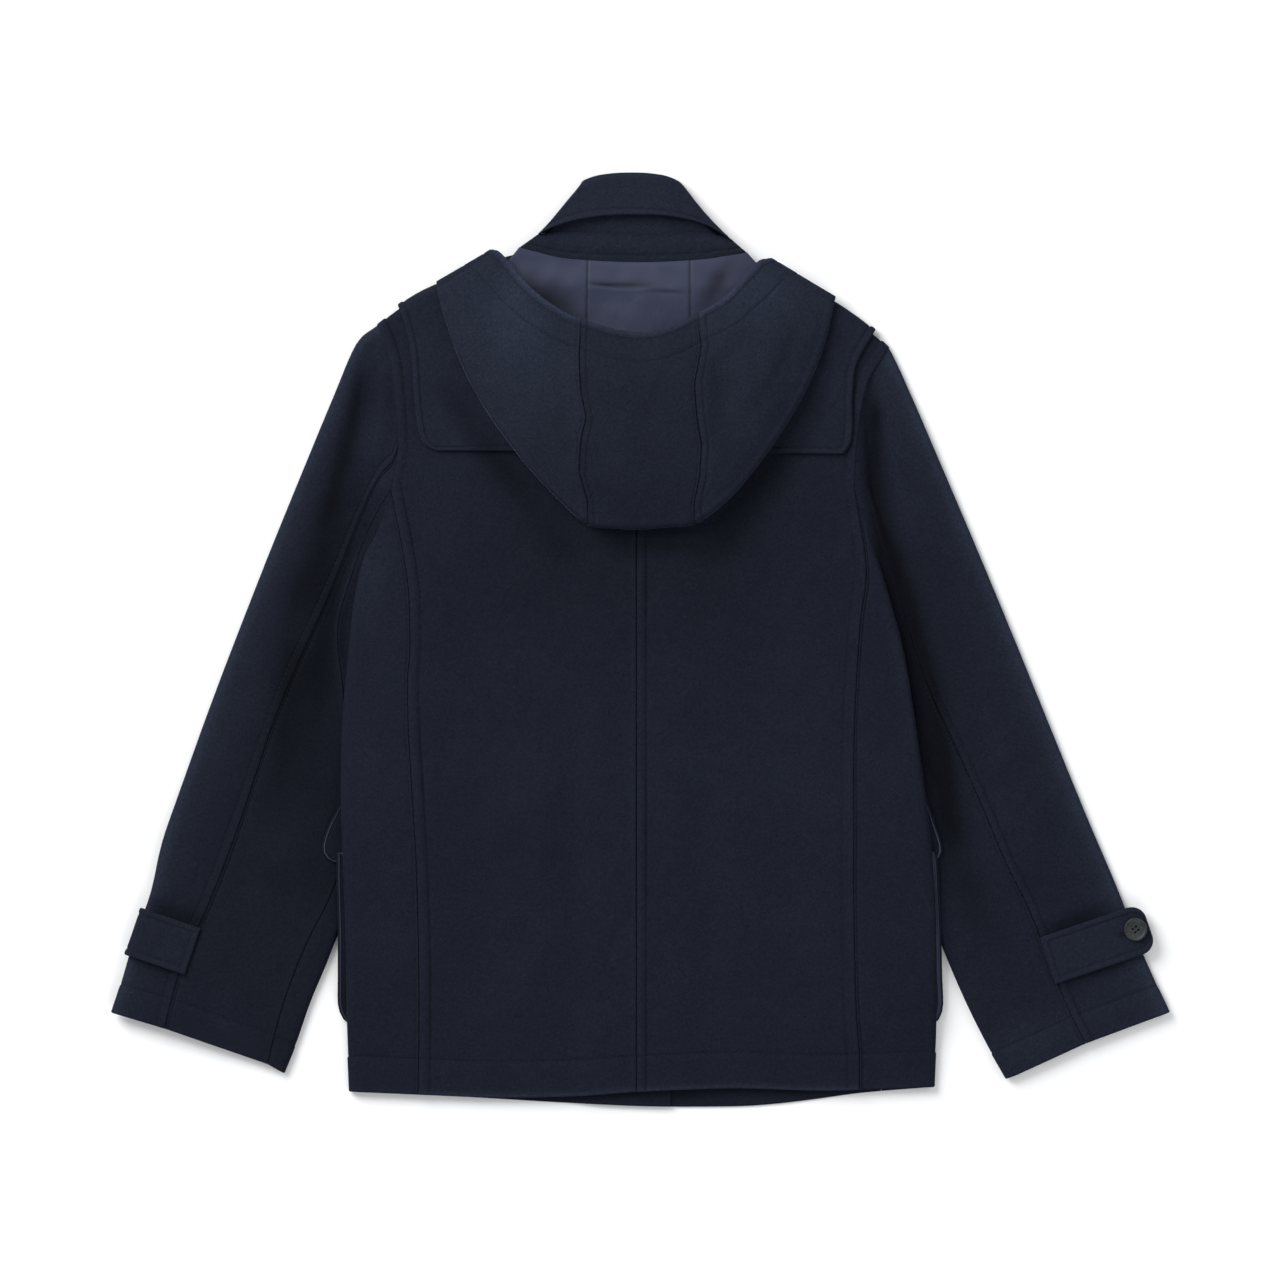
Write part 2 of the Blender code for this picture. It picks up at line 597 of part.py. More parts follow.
def sleeve_paths(sign):
    """Rows round each sleeve from its back seam, out over the outer fold and back to the seam."""
    table = SLEEVE_LEFT if sign < 0 else SLEEVE_RIGHT
    armhole = through(ARMHOLE_LEFT if sign < 0 else ARMHOLE_RIGHT, ARMHOLE_STEPS)
    cap_steps = ARMHOLE_SEAM_STEP
    under_steps = ARMHOLE_STEPS - cap_steps
    rows = sections(table, SLEEVE_ROWS)
    seam_x = SLEEVE_COLUMNS.index("seam_x")
    rows[0, seam_x:seam_x + 2] = armhole[cap_steps]
    cap_bow = armhole[:cap_steps + 1] - straight(armhole[0], armhole[cap_steps], cap_steps)
    under_bow = armhole[cap_steps:] - straight(armhole[cap_steps], armhole[-1], under_steps)
    paths = []
    for index, row in enumerate(rows):
        fade = 1 - smoothstep(index / SLEEVE_ROWS / CAP_FADE)
        outer, seam, inseam, inner = places(SLEEVE_COLUMNS, row, ("outer", "seam", "inseam", "inner"))
        cap = straight(outer, seam, cap_steps) + cap_bow * fade
        under = straight(seam, inseam, under_steps) + under_bow * fade
        inside = straight(inseam, inner, SIDE_STEPS)
        to_outer, outward = run_to_fold(cap[::-1], FOLD_REACH)
        to_inner, inward = run_to_fold(inside, FOLD_REACH, evenly=True)
        upper_cap = layer_path(to_outer, 1.0, TUBE_MID)
        outer_fold = fold_path(outer - outward * WOOL / 2, outward, TUBE_MID, FOLD_REACH)
        lower = np.vstack([to_outer[::-1], under[1:], to_inner[1:]])
        inner_fold = fold_path(inner - inward * WOOL / 2, inward, TUBE_MID, FOLD_REACH)[::-1]
        upper_inside = layer_path(np.vstack([under[:-1], to_inner])[::-1], 1.0, TUBE_MID)
        paths.append(upper_cap + outer_fold + layer_path(lower, -1.0, TUBE_MID) + inner_fold + upper_inside)
    return paths


def add_sleeve(side, sign):
    """An upper and an under sleeve, parted at the back seam and at the inseam."""
    paths = sleeve_paths(sign)
    fold_columns = 2 * FOLD_STEPS - 1
    lower_start = ARMHOLE_SEAM_STEP + 1 + fold_columns
    lower_length = ARMHOLE_STEPS + SIDE_STEPS + 1
    inner_top = lower_start + lower_length + fold_columns
    if sign < 0:
        parting = inner_top + SIDE_STEPS
    else:
        parting = lower_start + ARMHOLE_STEPS
    lift = sleeve_lift if sign < 0 else level
    for name, first, last in (("upper", 0, parting), ("under", parting, len(paths[0]) - 1)):
        strips = [path[first:last + 1] for path in paths]
        wall_from_paths(f"sleeve_{side}_{name}", strips, lift, TUBE_HALF_HEIGHT,
                        ends=(HALF_GAP, HALF_GAP), rows_in=(HALF_GAP, 0.0))


# ---------------------------------------------------------------- yoke
YOKE_COLUMNS = 20
YOKE_ROWS = 8


def add_yoke():
    top = through(YOKE_TOP, YOKE_COLUMNS)
    bottom = np.column_stack([np.linspace(YOKE_LEFT[-1][0], YOKE_RIGHT[-1][0], YOKE_COLUMNS + 1),
                              np.linspace(YOKE_LEFT[-1][1], YOKE_RIGHT[-1][1], YOKE_COLUMNS + 1)])
    plan = patch(top, bottom, through(YOKE_LEFT, YOKE_ROWS), through(YOKE_RIGHT, YOKE_ROWS))
    inside_neck = np.minimum(top[:, 0] - YOKE_NECK_X[0], YOKE_NECK_X[1] - top[:, 0])
    weights = 1 - smoothstep((inside_neck + YOKE_TURN_RAMP) / YOKE_TURN_RAMP)
    half_height = YOKE_MID - TUBE_HALF_HEIGHT
    middle, normal = fold_over(plan, weights, half_height, FOLD_REACH + half_height - TUBE_MID)
    middle[..., 2] += TUBE_HALF_HEIGHT + body_lift(middle[..., 0], middle[..., 1])
    add_wall("yoke", middle + normal * WOOL / 2, middle - normal * WOOL / 2)


# ---------------------------------------------------------------- hood and what lies in its neck
HOOD_SUB_ROWS = 2
HOOD_UPPER_STEPS = 6
HOOD_LOWER_STEPS = 2
HOOD_LAP_HALF = 75.0
HOOD_LAP_RAMP = 60.0


def hood_lift(x):
    """The hood lies over the lapped fronts in one broad rise."""
    return LAP_LAYER * (1 - smoothstep((np.abs(x) - HOOD_LAP_HALF) / HOOD_LAP_RAMP))


def hood_path(row):
    """The middle of the hood's wall, from its mouth over the crown, round the outline to the neck."""
    mouth, edge, neck = places(HOOD_COLUMNS, row, ("mouth", "edge", "neck"))
    mouth_z, crown_z, fold = row[HOOD_COLUMNS.index("mouth_z"):]
    floor = HOOD_FLOOR + WOOL / 2
    fold_top = floor + 2 * fold
    run, outward = run_to_fold(straight(mouth, edge, HOOD_UPPER_STEPS), HOOD_FOLD_REACH)
    points = []
    for share, place in zip(np.linspace(0, 1, HOOD_UPPER_STEPS + 1), run):
        if share <= HOOD_CROWN_AT:
            height = mouth_z + (crown_z - mouth_z) * math.sin(share / HOOD_CROWN_AT * math.pi / 2)
        else:
            fall = (share - HOOD_CROWN_AT) / (1 - HOOD_CROWN_AT)
            height = fold_top + (crown_z - fold_top) * (1 - fall ** HOOD_FULLNESS)
        points.append((place[0], place[1], height))
    for place, _ in fold_path(edge - outward * WOOL / 2, outward, fold, HOOD_FOLD_REACH):
        points.append((place[0], place[1], floor + fold + place[2]))
    for place in straight(run[-1], neck, HOOD_LOWER_STEPS):
        points.append((place[0], place[1], floor))
    points = np.array(points)
    points[:, 2] += hood_lift(points[:, 0])
    return points


def grid_normals(grid):
    along = np.gradient(grid, axis=1)
    across = np.gradient(grid, axis=0)
    normal = np.cross(along, across)
    return normal / np.linalg.norm(normal, axis=2, keepdims=True)


def add_hood():
    rows = sections(HOOD, (len(HOOD) - 1) * HOOD_SUB_ROWS)
    middle = np.array([hood_path(row) for row in rows])
    normal = grid_normals(middle)
    left_seam, right_seam = (row * HOOD_SUB_ROWS for row in HOOD_SEAM_ROWS)
    for name, first, last in (("hood_left", 0, left_seam), ("hood_centre", left_seam, right_seam),
                              ("hood_right", right_seam, len(rows) - 1)):
        panel = middle[first:last + 1]
        panel = draw_in(panel, top=HOOD_HALF_GAP if first else 0.0,
                        bottom=HOOD_HALF_GAP if last < len(rows) - 1 else 0.0)
        outward = normal[first:last + 1] * WOOL / 2
        add_wall(name, panel + outward, panel - outward)


def add_band():
    """The wool band that joins the hood to the neck, rounded across."""
    top = through(BAND_TOP, NECK_COLUMNS)
    bottom = through(BAND_BOTTOM, NECK_COLUMNS)
    left = straight(top[0], bottom[0], BAND_ROWS)
    right = straight(top[-1], bottom[-1], BAND_ROWS)
    plan = patch(top, bottom, left, right)
    bulge = BAND_BULGE * np.sin(np.linspace(0, math.pi, BAND_ROWS + 1))
    height = BAND_HEIGHT + bulge[:, None] + 0 * plan[..., 0]
    outer = np.dstack([plan, height + WOOL / 2])
    inner = np.dstack([plan, height - WOOL / 2])
    add_wall("hood_band", outer, inner)


def add_lining():
    """Satin inside the hood, from the neck band to just under the mouth."""
    top = through(BAND_BOTTOM, NECK_COLUMNS) - np.array([0.0, LINING_BELOW_BAND])
    bottom = through(LINING_BOTTOM, NECK_COLUMNS)
    left = straight(top[0], bottom[0], LINING_ROWS)
    right = straight(top[-1], bottom[-1], LINING_ROWS)
    plan = patch(top, bottom, left, right)
    low_y, high_y = LINING_STEP_Y
    drop = smoothstep((plan[..., 1] - low_y) / (high_y - low_y))
    height = (LINING_MID + hood_lift(plan[..., 0])) * (1 - drop) + LINING_NECK_MID * drop
    outer = np.dstack([plan, height + SATIN / 2])
    inner = np.dstack([plan, height - SATIN / 2])
    add_wall("hood_lining", outer, inner, "satin")


# ---------------------------------------------------------------- collar
COLLAR_BACK_STEPS = 10
COLLAR_LEAF_STEPS = 3
COLLAR_FALL_ROWS = 5
COLLAR_STAND_ROWS = 3


def collar_path(row, lower_mid):
    """One row round the collar: a front leaf, the left fold, the back, the right fold, a leaf."""
    left, right = places(COLLAR_COLUMNS, row, ("left", "right"))
    middle_y, height = row[COLLAR_COLUMNS.index("middle_y"):]
    half_height = (height - lower_mid) / 2
    back = straight(left, right, COLLAR_BACK_STEPS)
    rise = 1 - np.abs(np.linspace(-1, 1, COLLAR_BACK_STEPS + 1)) ** COLLAR_SQUARENESS
    back[:, 1] += (middle_y - back[:, 1]) * rise
    to_right, right_out = run_to_fold(back, COLLAR_REACH)
    to_left, left_out = run_to_fold(to_right[::-1], COLLAR_REACH)
    left_leaf = straight(to_left[-1] + np.array([COLLAR_LEAF, 0]), to_left[-1], COLLAR_LEAF_STEPS)
    right_leaf = straight(to_right[-1], to_right[-1] - np.array([COLLAR_LEAF, 0]), COLLAR_LEAF_STEPS)
    path = layer_path(left_leaf, -1.0, half_height)
    path += fold_path(left - left_out * WOOL / 2, left_out, half_height, COLLAR_REACH)[::-1]
    path += layer_path(to_left[::-1], 1.0, half_height)
    path += fold_path(right - right_out * WOOL / 2, right_out, half_height, COLLAR_REACH)
    path += layer_path(right_leaf, -1.0, half_height)
    return [(place + np.array([0, 0, lower_mid + half_height]), normal) for place, normal in path]


def add_collar():
    fall = [collar_path(row, LEAF_MID) for row in sections(COLLAR_FALL, COLLAR_FALL_ROWS)]
    wall_from_paths("collar_fall", fall, level, 0.0)
    stand = [collar_path(row, STAND_FRONT_MID) for row in sections(COLLAR_STAND, COLLAR_STAND_ROWS)]
    wall_from_paths("collar_stand", stand, level, 0.0)


# ---------------------------------------------------------------- pockets, straps and buttons
POCKET_STEPS = 9
STRAP_STATIONS = 5
STRAP_TURN_STEPS = 3
BUTTON_SIDES = 20
THREAD_HOLE_SIDES = 6
THREAD_HOLE_DEPTH = 60.0


def add_pocket_piece(name, sign, rows_y, outer_x, below):
    """A patch pocket or its flap, made from the front's own rows, moved out below it."""
    edge = SIDE_EDGE_LEFT if sign < 0 else SIDE_EDGE_RIGHT
    inner_x = x_at(edge, rows_y[-1]) - sign * (POCKET_WIDTH - POCKET_SPARE)
    plan = [straight(np.array([x, float(y)]), np.array([inner_x, float(y)]), POCKET_STEPS)
            for y, x in zip(rows_y, outer_x)]
    flat_wall(name, np.array(plan), side_lift, -below)


def strap_plan(start, end, rounded_end):
    """Rows across a strap from its square end; the buttoned end has round corners."""
    start, end = np.array(start), np.array(end)
    length = np.linalg.norm(end - start)
    along = (end - start) / length
    across = np.array([-along[1], along[0]])
    stations = [(share * (length - STRAP_CORNER * rounded_end), STRAP_HALF_WIDTH)
                for share in np.linspace(0, 1, STRAP_STATIONS)]
    if rounded_end:
        for turn in range(1, STRAP_TURN_STEPS + 1):
            angle = math.pi / 2 * turn / STRAP_TURN_STEPS
            stations.append((length - STRAP_CORNER * (1 - math.sin(angle)),
                             STRAP_HALF_WIDTH - STRAP_CORNER * (1 - math.cos(angle))))
    rows = [[start + along * place + across * half * side for side in (-1, -0.5, 0, 0.5, 1)]
            for place, half in stations]
    return np.array(rows), along


def add_right_strap():
    plan, _ = strap_plan(STRAP_RIGHT_START, STRAP_RIGHT_END, True)
    flat_wall("cuff_strap_right", plan, level, STRAP_MID)


def add_left_strap():
    """The left strap turns round the sleeve's outer fold and ends underneath."""
    half_height = STRAP_MID - TUBE_HALF_HEIGHT
    reach = FOLD_REACH + half_height - TUBE_MID
    edge = np.array(STRAP_LEFT_FOLD)
    top_plan, along = strap_plan(STRAP_LEFT_START, edge, False)
    middle_edge = edge - along * WOOL / 2
    fold_start = middle_edge - along * reach
    under_end = fold_start - along * STRAP_LEFT_UNDER
    upper = np.array([row - top_plan[-1][2] * share + fold_start * share
                      for row, share in zip(top_plan, np.linspace(0, 1, len(top_plan)))])
    lower, _ = strap_plan(fold_start, under_end, True)
    paths = [layer_path(row, 1.0, half_height) for row in upper]
    turned = fold_path(middle_edge, along, half_height, reach)
    for place, normal in turned:
        shift = np.array([*(place[:2] - fold_start), 0.0])
        paths.append([(np.array([*point, place[2]]) + shift, normal) for point in upper[-1]])
    paths += [layer_path(row[::-1], -1.0, half_height) for row in lower]
    wall_from_paths("cuff_strap_left", paths, sleeve_lift, TUBE_HALF_HEIGHT)


def add_button(name, place, bottom, thick, facing):
    """A four-hole button with a raised rim, turned from its profile."""
    sides = BUTTON_SIDES
    edge = BUTTON_ROUND
    rim_inner = BUTTON_RADIUS - BUTTON_RIM
    dish_floor = thick - BUTTON_DISH
    profile = [(0.0, 0.0), (BUTTON_RADIUS - edge, 0.0), (BUTTON_RADIUS, edge), (BUTTON_RADIUS, thick - edge),
               (BUTTON_RADIUS - edge, thick), (rim_inner, thick), (rim_inner - BUTTON_DISH, dish_floor),
               (0.0, dish_floor)]
    points = [(0.0, 0.0, profile[0][1])]
    for radius, height in profile[1:-1]:
        for side in range(sides):
            angle = 2 * math.pi * side / sides
            points.append((radius * math.cos(angle), radius * math.sin(angle), height))
    points.append((0.0, 0.0, profile[-1][1]))
    faces = []
    rings = len(profile) - 2
    for side in range(sides):
        beside = (side + 1) % sides
        faces.append((0, 1 + beside, 1 + side))
        for ring in range(rings - 1):
            low = 1 + ring * sides
            faces.append((low + side, low + beside, low + sides + beside, low + sides + side))
        last = 1 + (rings - 1) * sides
        faces.append((last + side, last + beside, len(points) - 1))
    centre = np.array([place[0], place[1], bottom])
    if facing < 0:
        centre[2] += thick
    placed = [np.array([x, y, z * facing]) + centre for x, y, z in points]
    button = add_solid(name, placed, faces, "button")
    for across in (-1, 1):
        for up in (-1, 1):
            drill_hole(button, place[0] + across * THREAD_HOLE_SPREAD, place[1] + up * THREAD_HOLE_SPREAD)


def drill_hole(button, x, y):
    """Cut one thread hole through a button with a hidden guide."""
    bpy.ops.mesh.primitive_cylinder_add(vertices=THREAD_HOLE_SIDES, radius=THREAD_HOLE_RADIUS * METRES,
                                        depth=THREAD_HOLE_DEPTH * METRES, location=to_metres((x, y, 0.0)))
    cutter = bpy.context.object
    cutter.name = button.name + "_hole_guide"
    cutter.hide_render = True
    cutter.display_type = "WIRE"
    cut = button.modifiers.new("thread hole", "BOOLEAN")
    cut.operation = "DIFFERENCE"
    cut.solver = "EXACT"
    cut.object = cutter


# ---------------------------------------------------------------- the coat
def add_body():
    for side, sign in (("left", -1), ("right", 1)):
        body_panel(f"back_{side}", sign, BACK_STEPS, CENTRE_BACK_X, NECK_BACK_Y, HEM_BACK, 0, 1.0, body_lift)
        side_panel(f"side_{side}", sign)
    body_panel("front_left", -1, FRONT_STEPS, LAP_HALF, NECK_FRONT_Y, HEM_FRONT, 2, -1.0, left_front_lift)
    body_panel("front_right", 1, FRONT_STEPS, -LAP_HALF, NECK_FRONT_Y, HEM_FRONT, 2, -1.0, side_lift)


def add_pockets():
    pocket_below = LAYER_GAP + WOOL / 2
    flap_below = pocket_below + WOOL + LAYER_GAP / 2
    for side, sign, pocket_x, flap_x in (("left", -1, POCKET_LEFT_X, FLAP_LEFT_X),
                                         ("right", 1, POCKET_RIGHT_X, FLAP_RIGHT_X)):
        add_pocket_piece(f"pocket_{side}", sign, POCKET_ROWS_Y, pocket_x, pocket_below)
        add_pocket_piece(f"pocket_flap_{side}", sign, FLAP_ROWS_Y, flap_x, flap_below)


def add_cuffs():
    add_right_strap()
    add_left_strap()
    right_bottom = STRAP_MID + WOOL / 2 + SEAM_GAP
    add_button("cuff_button_right", BUTTON_RIGHT_AT, right_bottom, BUTTON_THICK, 1)
    under_strap = CUFF_LIFT + 2 * TUBE_HALF_HEIGHT - STRAP_MID - WOOL / 2
    add_button("cuff_button_left", BUTTON_LEFT_AT, under_strap - SEAM_GAP - BUTTON_HIDDEN_THICK,
               BUTTON_HIDDEN_THICK, -1)


def main():
    for old in list(bpy.data.objects):
        bpy.data.objects.remove(old, do_unlink=True)
    add_body()
    add_sleeve("left", -1)
    add_sleeve("right", 1)
    add_yoke()
    add_hood()
    add_band()
    add_lining()
    add_collar()
    add_pockets()
    add_cuffs()


main()
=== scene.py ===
# %% [markdown]
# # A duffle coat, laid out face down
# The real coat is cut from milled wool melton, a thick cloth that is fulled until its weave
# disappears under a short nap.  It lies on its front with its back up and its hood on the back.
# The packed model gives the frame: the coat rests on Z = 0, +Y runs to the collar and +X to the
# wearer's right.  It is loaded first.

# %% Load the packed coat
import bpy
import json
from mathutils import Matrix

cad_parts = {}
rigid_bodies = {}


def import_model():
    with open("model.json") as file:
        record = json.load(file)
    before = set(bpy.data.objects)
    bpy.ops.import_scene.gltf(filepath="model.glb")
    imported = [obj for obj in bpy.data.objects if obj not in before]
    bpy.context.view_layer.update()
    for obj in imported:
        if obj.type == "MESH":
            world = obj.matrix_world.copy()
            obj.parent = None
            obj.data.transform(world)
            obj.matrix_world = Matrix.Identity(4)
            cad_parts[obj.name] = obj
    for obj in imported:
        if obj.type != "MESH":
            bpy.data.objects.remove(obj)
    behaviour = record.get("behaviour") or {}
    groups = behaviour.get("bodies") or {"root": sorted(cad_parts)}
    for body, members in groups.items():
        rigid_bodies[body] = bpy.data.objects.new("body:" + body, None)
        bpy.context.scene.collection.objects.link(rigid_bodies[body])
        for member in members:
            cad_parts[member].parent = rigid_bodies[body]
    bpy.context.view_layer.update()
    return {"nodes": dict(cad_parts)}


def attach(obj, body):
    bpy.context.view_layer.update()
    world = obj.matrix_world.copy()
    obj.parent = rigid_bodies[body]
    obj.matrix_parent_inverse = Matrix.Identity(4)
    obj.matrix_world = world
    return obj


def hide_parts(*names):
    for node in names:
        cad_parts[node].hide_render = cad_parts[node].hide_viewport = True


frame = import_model()

import json
import math

import bpy
import numpy as np

print("nodes to dress:", len(frame["nodes"]))

# %% [markdown]
# ## Cloth and layers
# A coat lying flat is a stack: front, back, yoke, hood.  One set of heights, worked out from the
# thickness of the cloth, keeps every layer clear of the next.  Tables are in millimetres because
# that is how a pattern is drawn; they are brought to metres when a mesh is made.

# %% Cloth thickness and the height of each layer
MM = 0.001
OUTLINE_MIDDLE = (0.5, -0.65)
WOOL = 2.2
SATIN = 1.0
TUBE_HALF_HEIGHT = 3.9
TUBE_MID = TUBE_HALF_HEIGHT - WOOL / 2
FOLD_REACH = 5.0
BACK_TOP = 2 * TUBE_HALF_HEIGHT
LAYER_GAP = 0.6
YOKE_GAP = 0.7
YOKE_MID = BACK_TOP + YOKE_GAP + WOOL / 2
HOOD_FLOOR = YOKE_MID + WOOL / 2 + LAYER_GAP
SEAM_HALF_GAP = 0.15


def to_metres(points):
    """Table places in millimetres, brought to metres about the middle of the outline."""
    points = np.array(points, float)
    points[..., 0] -= OUTLINE_MIDDLE[0]
    points[..., 1] -= OUTLINE_MIDDLE[1]
    return points * MM


def smoothstep(value):
    value = np.clip(value, 0.0, 1.0)
    return value * value * (3.0 - 2.0 * value)


def faded(distance, start, reach):
    """One up to the start, none beyond its reach, and smooth between."""
    return 1 - smoothstep((distance - start) / reach)


def near(distance, width):
    """One at a line, and less and less beside it."""
    return np.exp(-(distance / width) ** 2)


def add_object(name, data):
    item = bpy.data.objects.new(name, data)
    bpy.context.scene.collection.objects.link(item)
    return item


def add_mesh(name, points, faces):
    """A smooth mesh in the scene, from places in millimetres."""
    mesh = bpy.data.meshes.new(name)
    mesh.from_pydata(to_metres(points).tolist(), [], faces)
    mesh.polygons.foreach_set("use_smooth", [True] * len(faces))
    return add_object(name, mesh)


print("back lies", BACK_TOP, "mm up, hood floor", round(HOOD_FLOOR, 1))

# %% [markdown]
# ## Curves through pattern points
# Seams and edges are smooth curves through a few measured places.  A Catmull-Rom curve passes
# through its points, so a table reads like marks on a paper pattern.  `patch` fills the plan
# between four such edges.

# %% Curves, edges and patches
def blend_rows(rows, place):
    """A Catmull-Rom reading of table rows at a place counted in rows."""
    padded = np.vstack([2 * rows[0] - rows[1], rows, 2 * rows[-1] - rows[-2]])
    row = min(int(place), len(rows) - 2)
    share = place - row
    before, start, end, after = padded[row:row + 4]
    return 0.5 * (2 * start + (end - before) * share
                  + (2 * before - 5 * start + 4 * end - after) * share ** 2
                  + (3 * start - before - 3 * end + after) * share ** 3)


def sections(rows, steps):
    rows = np.asarray(rows, float)
    return np.array([blend_rows(rows, place) for place in np.linspace(0, len(rows) - 1, steps + 1)])


def through(rows, steps):
    """A smooth curve through table rows, read at even steps along its length."""
    fine = sections(rows, 24 * (len(rows) - 1))
    travelled = np.concatenate([[0.0], np.cumsum(np.linalg.norm(np.diff(fine[:, :2], axis=0), axis=1))])
    wanted = np.linspace(0, travelled[-1], steps + 1)
    return np.column_stack([np.interp(wanted, travelled, column) for column in fine.T])


def straight(start, end, steps):
    return np.array([start + (end - start) * share for share in np.linspace(0, 1, steps + 1)])


def places(columns, row, names):
    values = dict(zip(columns, row))
    return [np.array([values[name + "_x"], values[name + "_y"]], float) for name in names]


def patch(top, bottom, left, right):
    """Plan points between four edge curves; rows run from top to bottom and columns left to right."""
    across = np.linspace(0, 1, len(top))[None, :, None]
    down = np.linspace(0, 1, len(left))[:, None, None]
    corners = ((1 - across) * (1 - down) * top[0] + across * (1 - down) * top[-1]
               + (1 - across) * down * bottom[0] + across * down * bottom[-1])
    return ((1 - down) * top[None] + down * bottom[None]
            + (1 - across) * left[:, None] + across * right[:, None] - corners)


print("a curve through three marks:", through([(0, 0), (10, 5), (20, 0)], 4).round(1).tolist())

# %% [markdown]
# ## The ground the cloth lies on
# The body lies over the inner edges of the sleeves and over the pockets, and its fronts lap at
# the centre, so its back is not flat.  A few smooth steps in height describe that ground, and
# every layer is laid on it.

# %% Side edges of the body and the ground under it
SIDE_EDGE_LEFT = ((-225, 100), (-239, 75), (-248, 38), (-254, -16), (-259, -75), (-260, -135),
                  (-258, -195), (-256, -256), (-255, -333), (-253, -393))
SIDE_EDGE_RIGHT = ((197, 102), (213, 50), (229, -10), (239, -70), (248, -135), (253, -177),
                   (257, -228), (258, -279), (258, -333), (256, -390))
# How much higher the body lies over a sleeve, over a pocket and where the fronts lap.
SLEEVE_LAYER = BACK_TOP + 1.2
POCKET_LAYER = WOOL + 0.7
LAP_LAYER = WOOL + 0.5
LAP_HALF = 27.0
LAP_TOP_Y = 300.0
LAP_TOP_EASE = 36.0
LAP_EASE = 34.0
SLEEVE_REACH, SLEEVE_EASE = 50.0, 85.0
POCKET_REACH, POCKET_EASE = 168.0, 42.0
CUFF_RISE = 5.6
CUFF_PROP_AT = (-420.0, -260.0)
CUFF_PROP_REACH, CUFF_PROP_EASE = 62.0, 90.0
SLEEVE_UNDER_BODY = ((-364, 0.0), (-335, 0.25), (-294, 0.88), (-252, 1.0), (0, 1.0), (34, 0.92),
                     (64, 0.5), (92, 0.0))
POCKET_UNDER_BODY = ((-364, 0.0), (-335, 1.0), (-212, 1.0), (-194, 2.0), (-134, 2.0), (-104, 0.0))


def edge_distance(x, y):
    left = np.asarray(SIDE_EDGE_LEFT, float)[::-1]
    right = np.asarray(SIDE_EDGE_RIGHT, float)[::-1]
    return np.where(x < 0, x - np.interp(y, left[:, 1], left[:, 0]),
                    np.interp(y, right[:, 1], right[:, 0]) - x)


def eased(y, steps):
    """A table of steps read along the coat, with its corners eased as thick cloth eases them."""
    return np.mean([np.interp(y + shift, *zip(*steps)) for shift in np.linspace(-21, 21, 9)], axis=0)


def side_lift(x, y):
    """Height of the body's underside over the sleeves and the pockets."""
    inside = edge_distance(x, y)
    over_sleeve = SLEEVE_LAYER * eased(y, SLEEVE_UNDER_BODY)
    over_pocket = POCKET_LAYER * eased(y, POCKET_UNDER_BODY)
    return (over_sleeve * faded(inside, SLEEVE_REACH, SLEEVE_EASE)
            + over_pocket * faded(inside, POCKET_REACH, POCKET_EASE))


def lap_lift(x, y):
    down_front = smoothstep((LAP_TOP_Y - y) / LAP_TOP_EASE)
    return LAP_LAYER * down_front * faded(np.abs(x), LAP_HALF + 6.0, LAP_EASE)


def body_lift(x, y):
    return side_lift(x, y) + lap_lift(x, y)


def left_front_lift(x, y):
    return side_lift(x, y) + np.where(x < 0, lap_lift(x, y), LAP_LAYER)


def level(x, y):
    return np.zeros(np.shape(x))


def left_sleeve_lift(x, y):
    """The left cuff stands on its strap and button, which are underneath."""
    away = np.hypot(x - CUFF_PROP_AT[0], y - CUFF_PROP_AT[1])
    return CUFF_RISE * faded(away, CUFF_PROP_REACH, CUFF_PROP_EASE)


print("body rises", round(float(body_lift(np.array(-240.0), np.array(-150.0))), 1), "mm over a sleeve")

# %% [markdown]
# ## Folds placed one by one
# Cloth that has been lifted and laid down keeps soft ridges and troughs.  They could come from a
# cloth simulation, but the coat lies nearly flat and each fold has a known place, so each is
# written down as a line with a bend, a width and a height.  Its height fades towards its ends and
# wavers on the way, because no real fold is even.  The same kind of table also holds strokes of
# painted light and painted shade, which brighten or darken the cloth's colour where light and
# shadow fall.

# %% Height of a table of folds
# Each: how much a fold's height wavers, how fast along the fold, and how its start moves on.
WAVERS = ((0.28, 6.3, 1.7), (0.14, 15.0, 1.0))


def folds(x, y, table):
    """The height of all the folds of a table at places in plan.

    Each row is a start x, y, an end x, y, a sideways bend, a width and a height.  The tables of
    painted light and painted shade hold strokes instead, and their last column is a share of light.
    """
    height = np.zeros(np.shape(x))
    for number, (x0, y0, x1, y1, bend, width, rise) in enumerate(table):
        length = math.hypot(x1 - x0, y1 - y0)
        ax, ay = (x1 - x0) / length, (y1 - y0) / length
        along = ((x - x0) * ax + (y - y0) * ay) / length
        aside = (y - y0) * ax - (x - x0) * ay - bend * 4 * along * (1 - along)
        fade = np.sin(np.pi * np.clip(along, 0, 1)) ** 0.8
        waver = 1 + sum(size * np.sin(speed * along + start * number) for size, speed, start in WAVERS)
        height = height + rise * fade * waver * near(aside, width * (0.75 + 0.4 * along))
    return height


def brushed_by(table):
    """Painted light and shade from a table of strokes: a share of the cloth's colour at each place."""
    return lambda x, y: 1 + folds(x, y, table)


SETTLE_WAVES = ((61, 83), (97, -71), (-43, 119), (29, 37), (-23, 41), (147, 19))
SETTLE_HEIGHT = 0.08


def settle(x, y):
    """The slight unevenness of thick cloth that lies on itself."""
    height = 0 * x
    for number, (wave_x, wave_y) in enumerate(SETTLE_WAVES):
        height = height + np.sin(2 * np.pi * (x / wave_x + y / wave_y) + 1.9 * number)
    return SETTLE_HEIGHT * height


print("half way along a 1 mm fold:", float(folds(50.0, 0.0, ((0, 0, 100, 0, 0, 10, 1.0),)).round(2)), "mm")

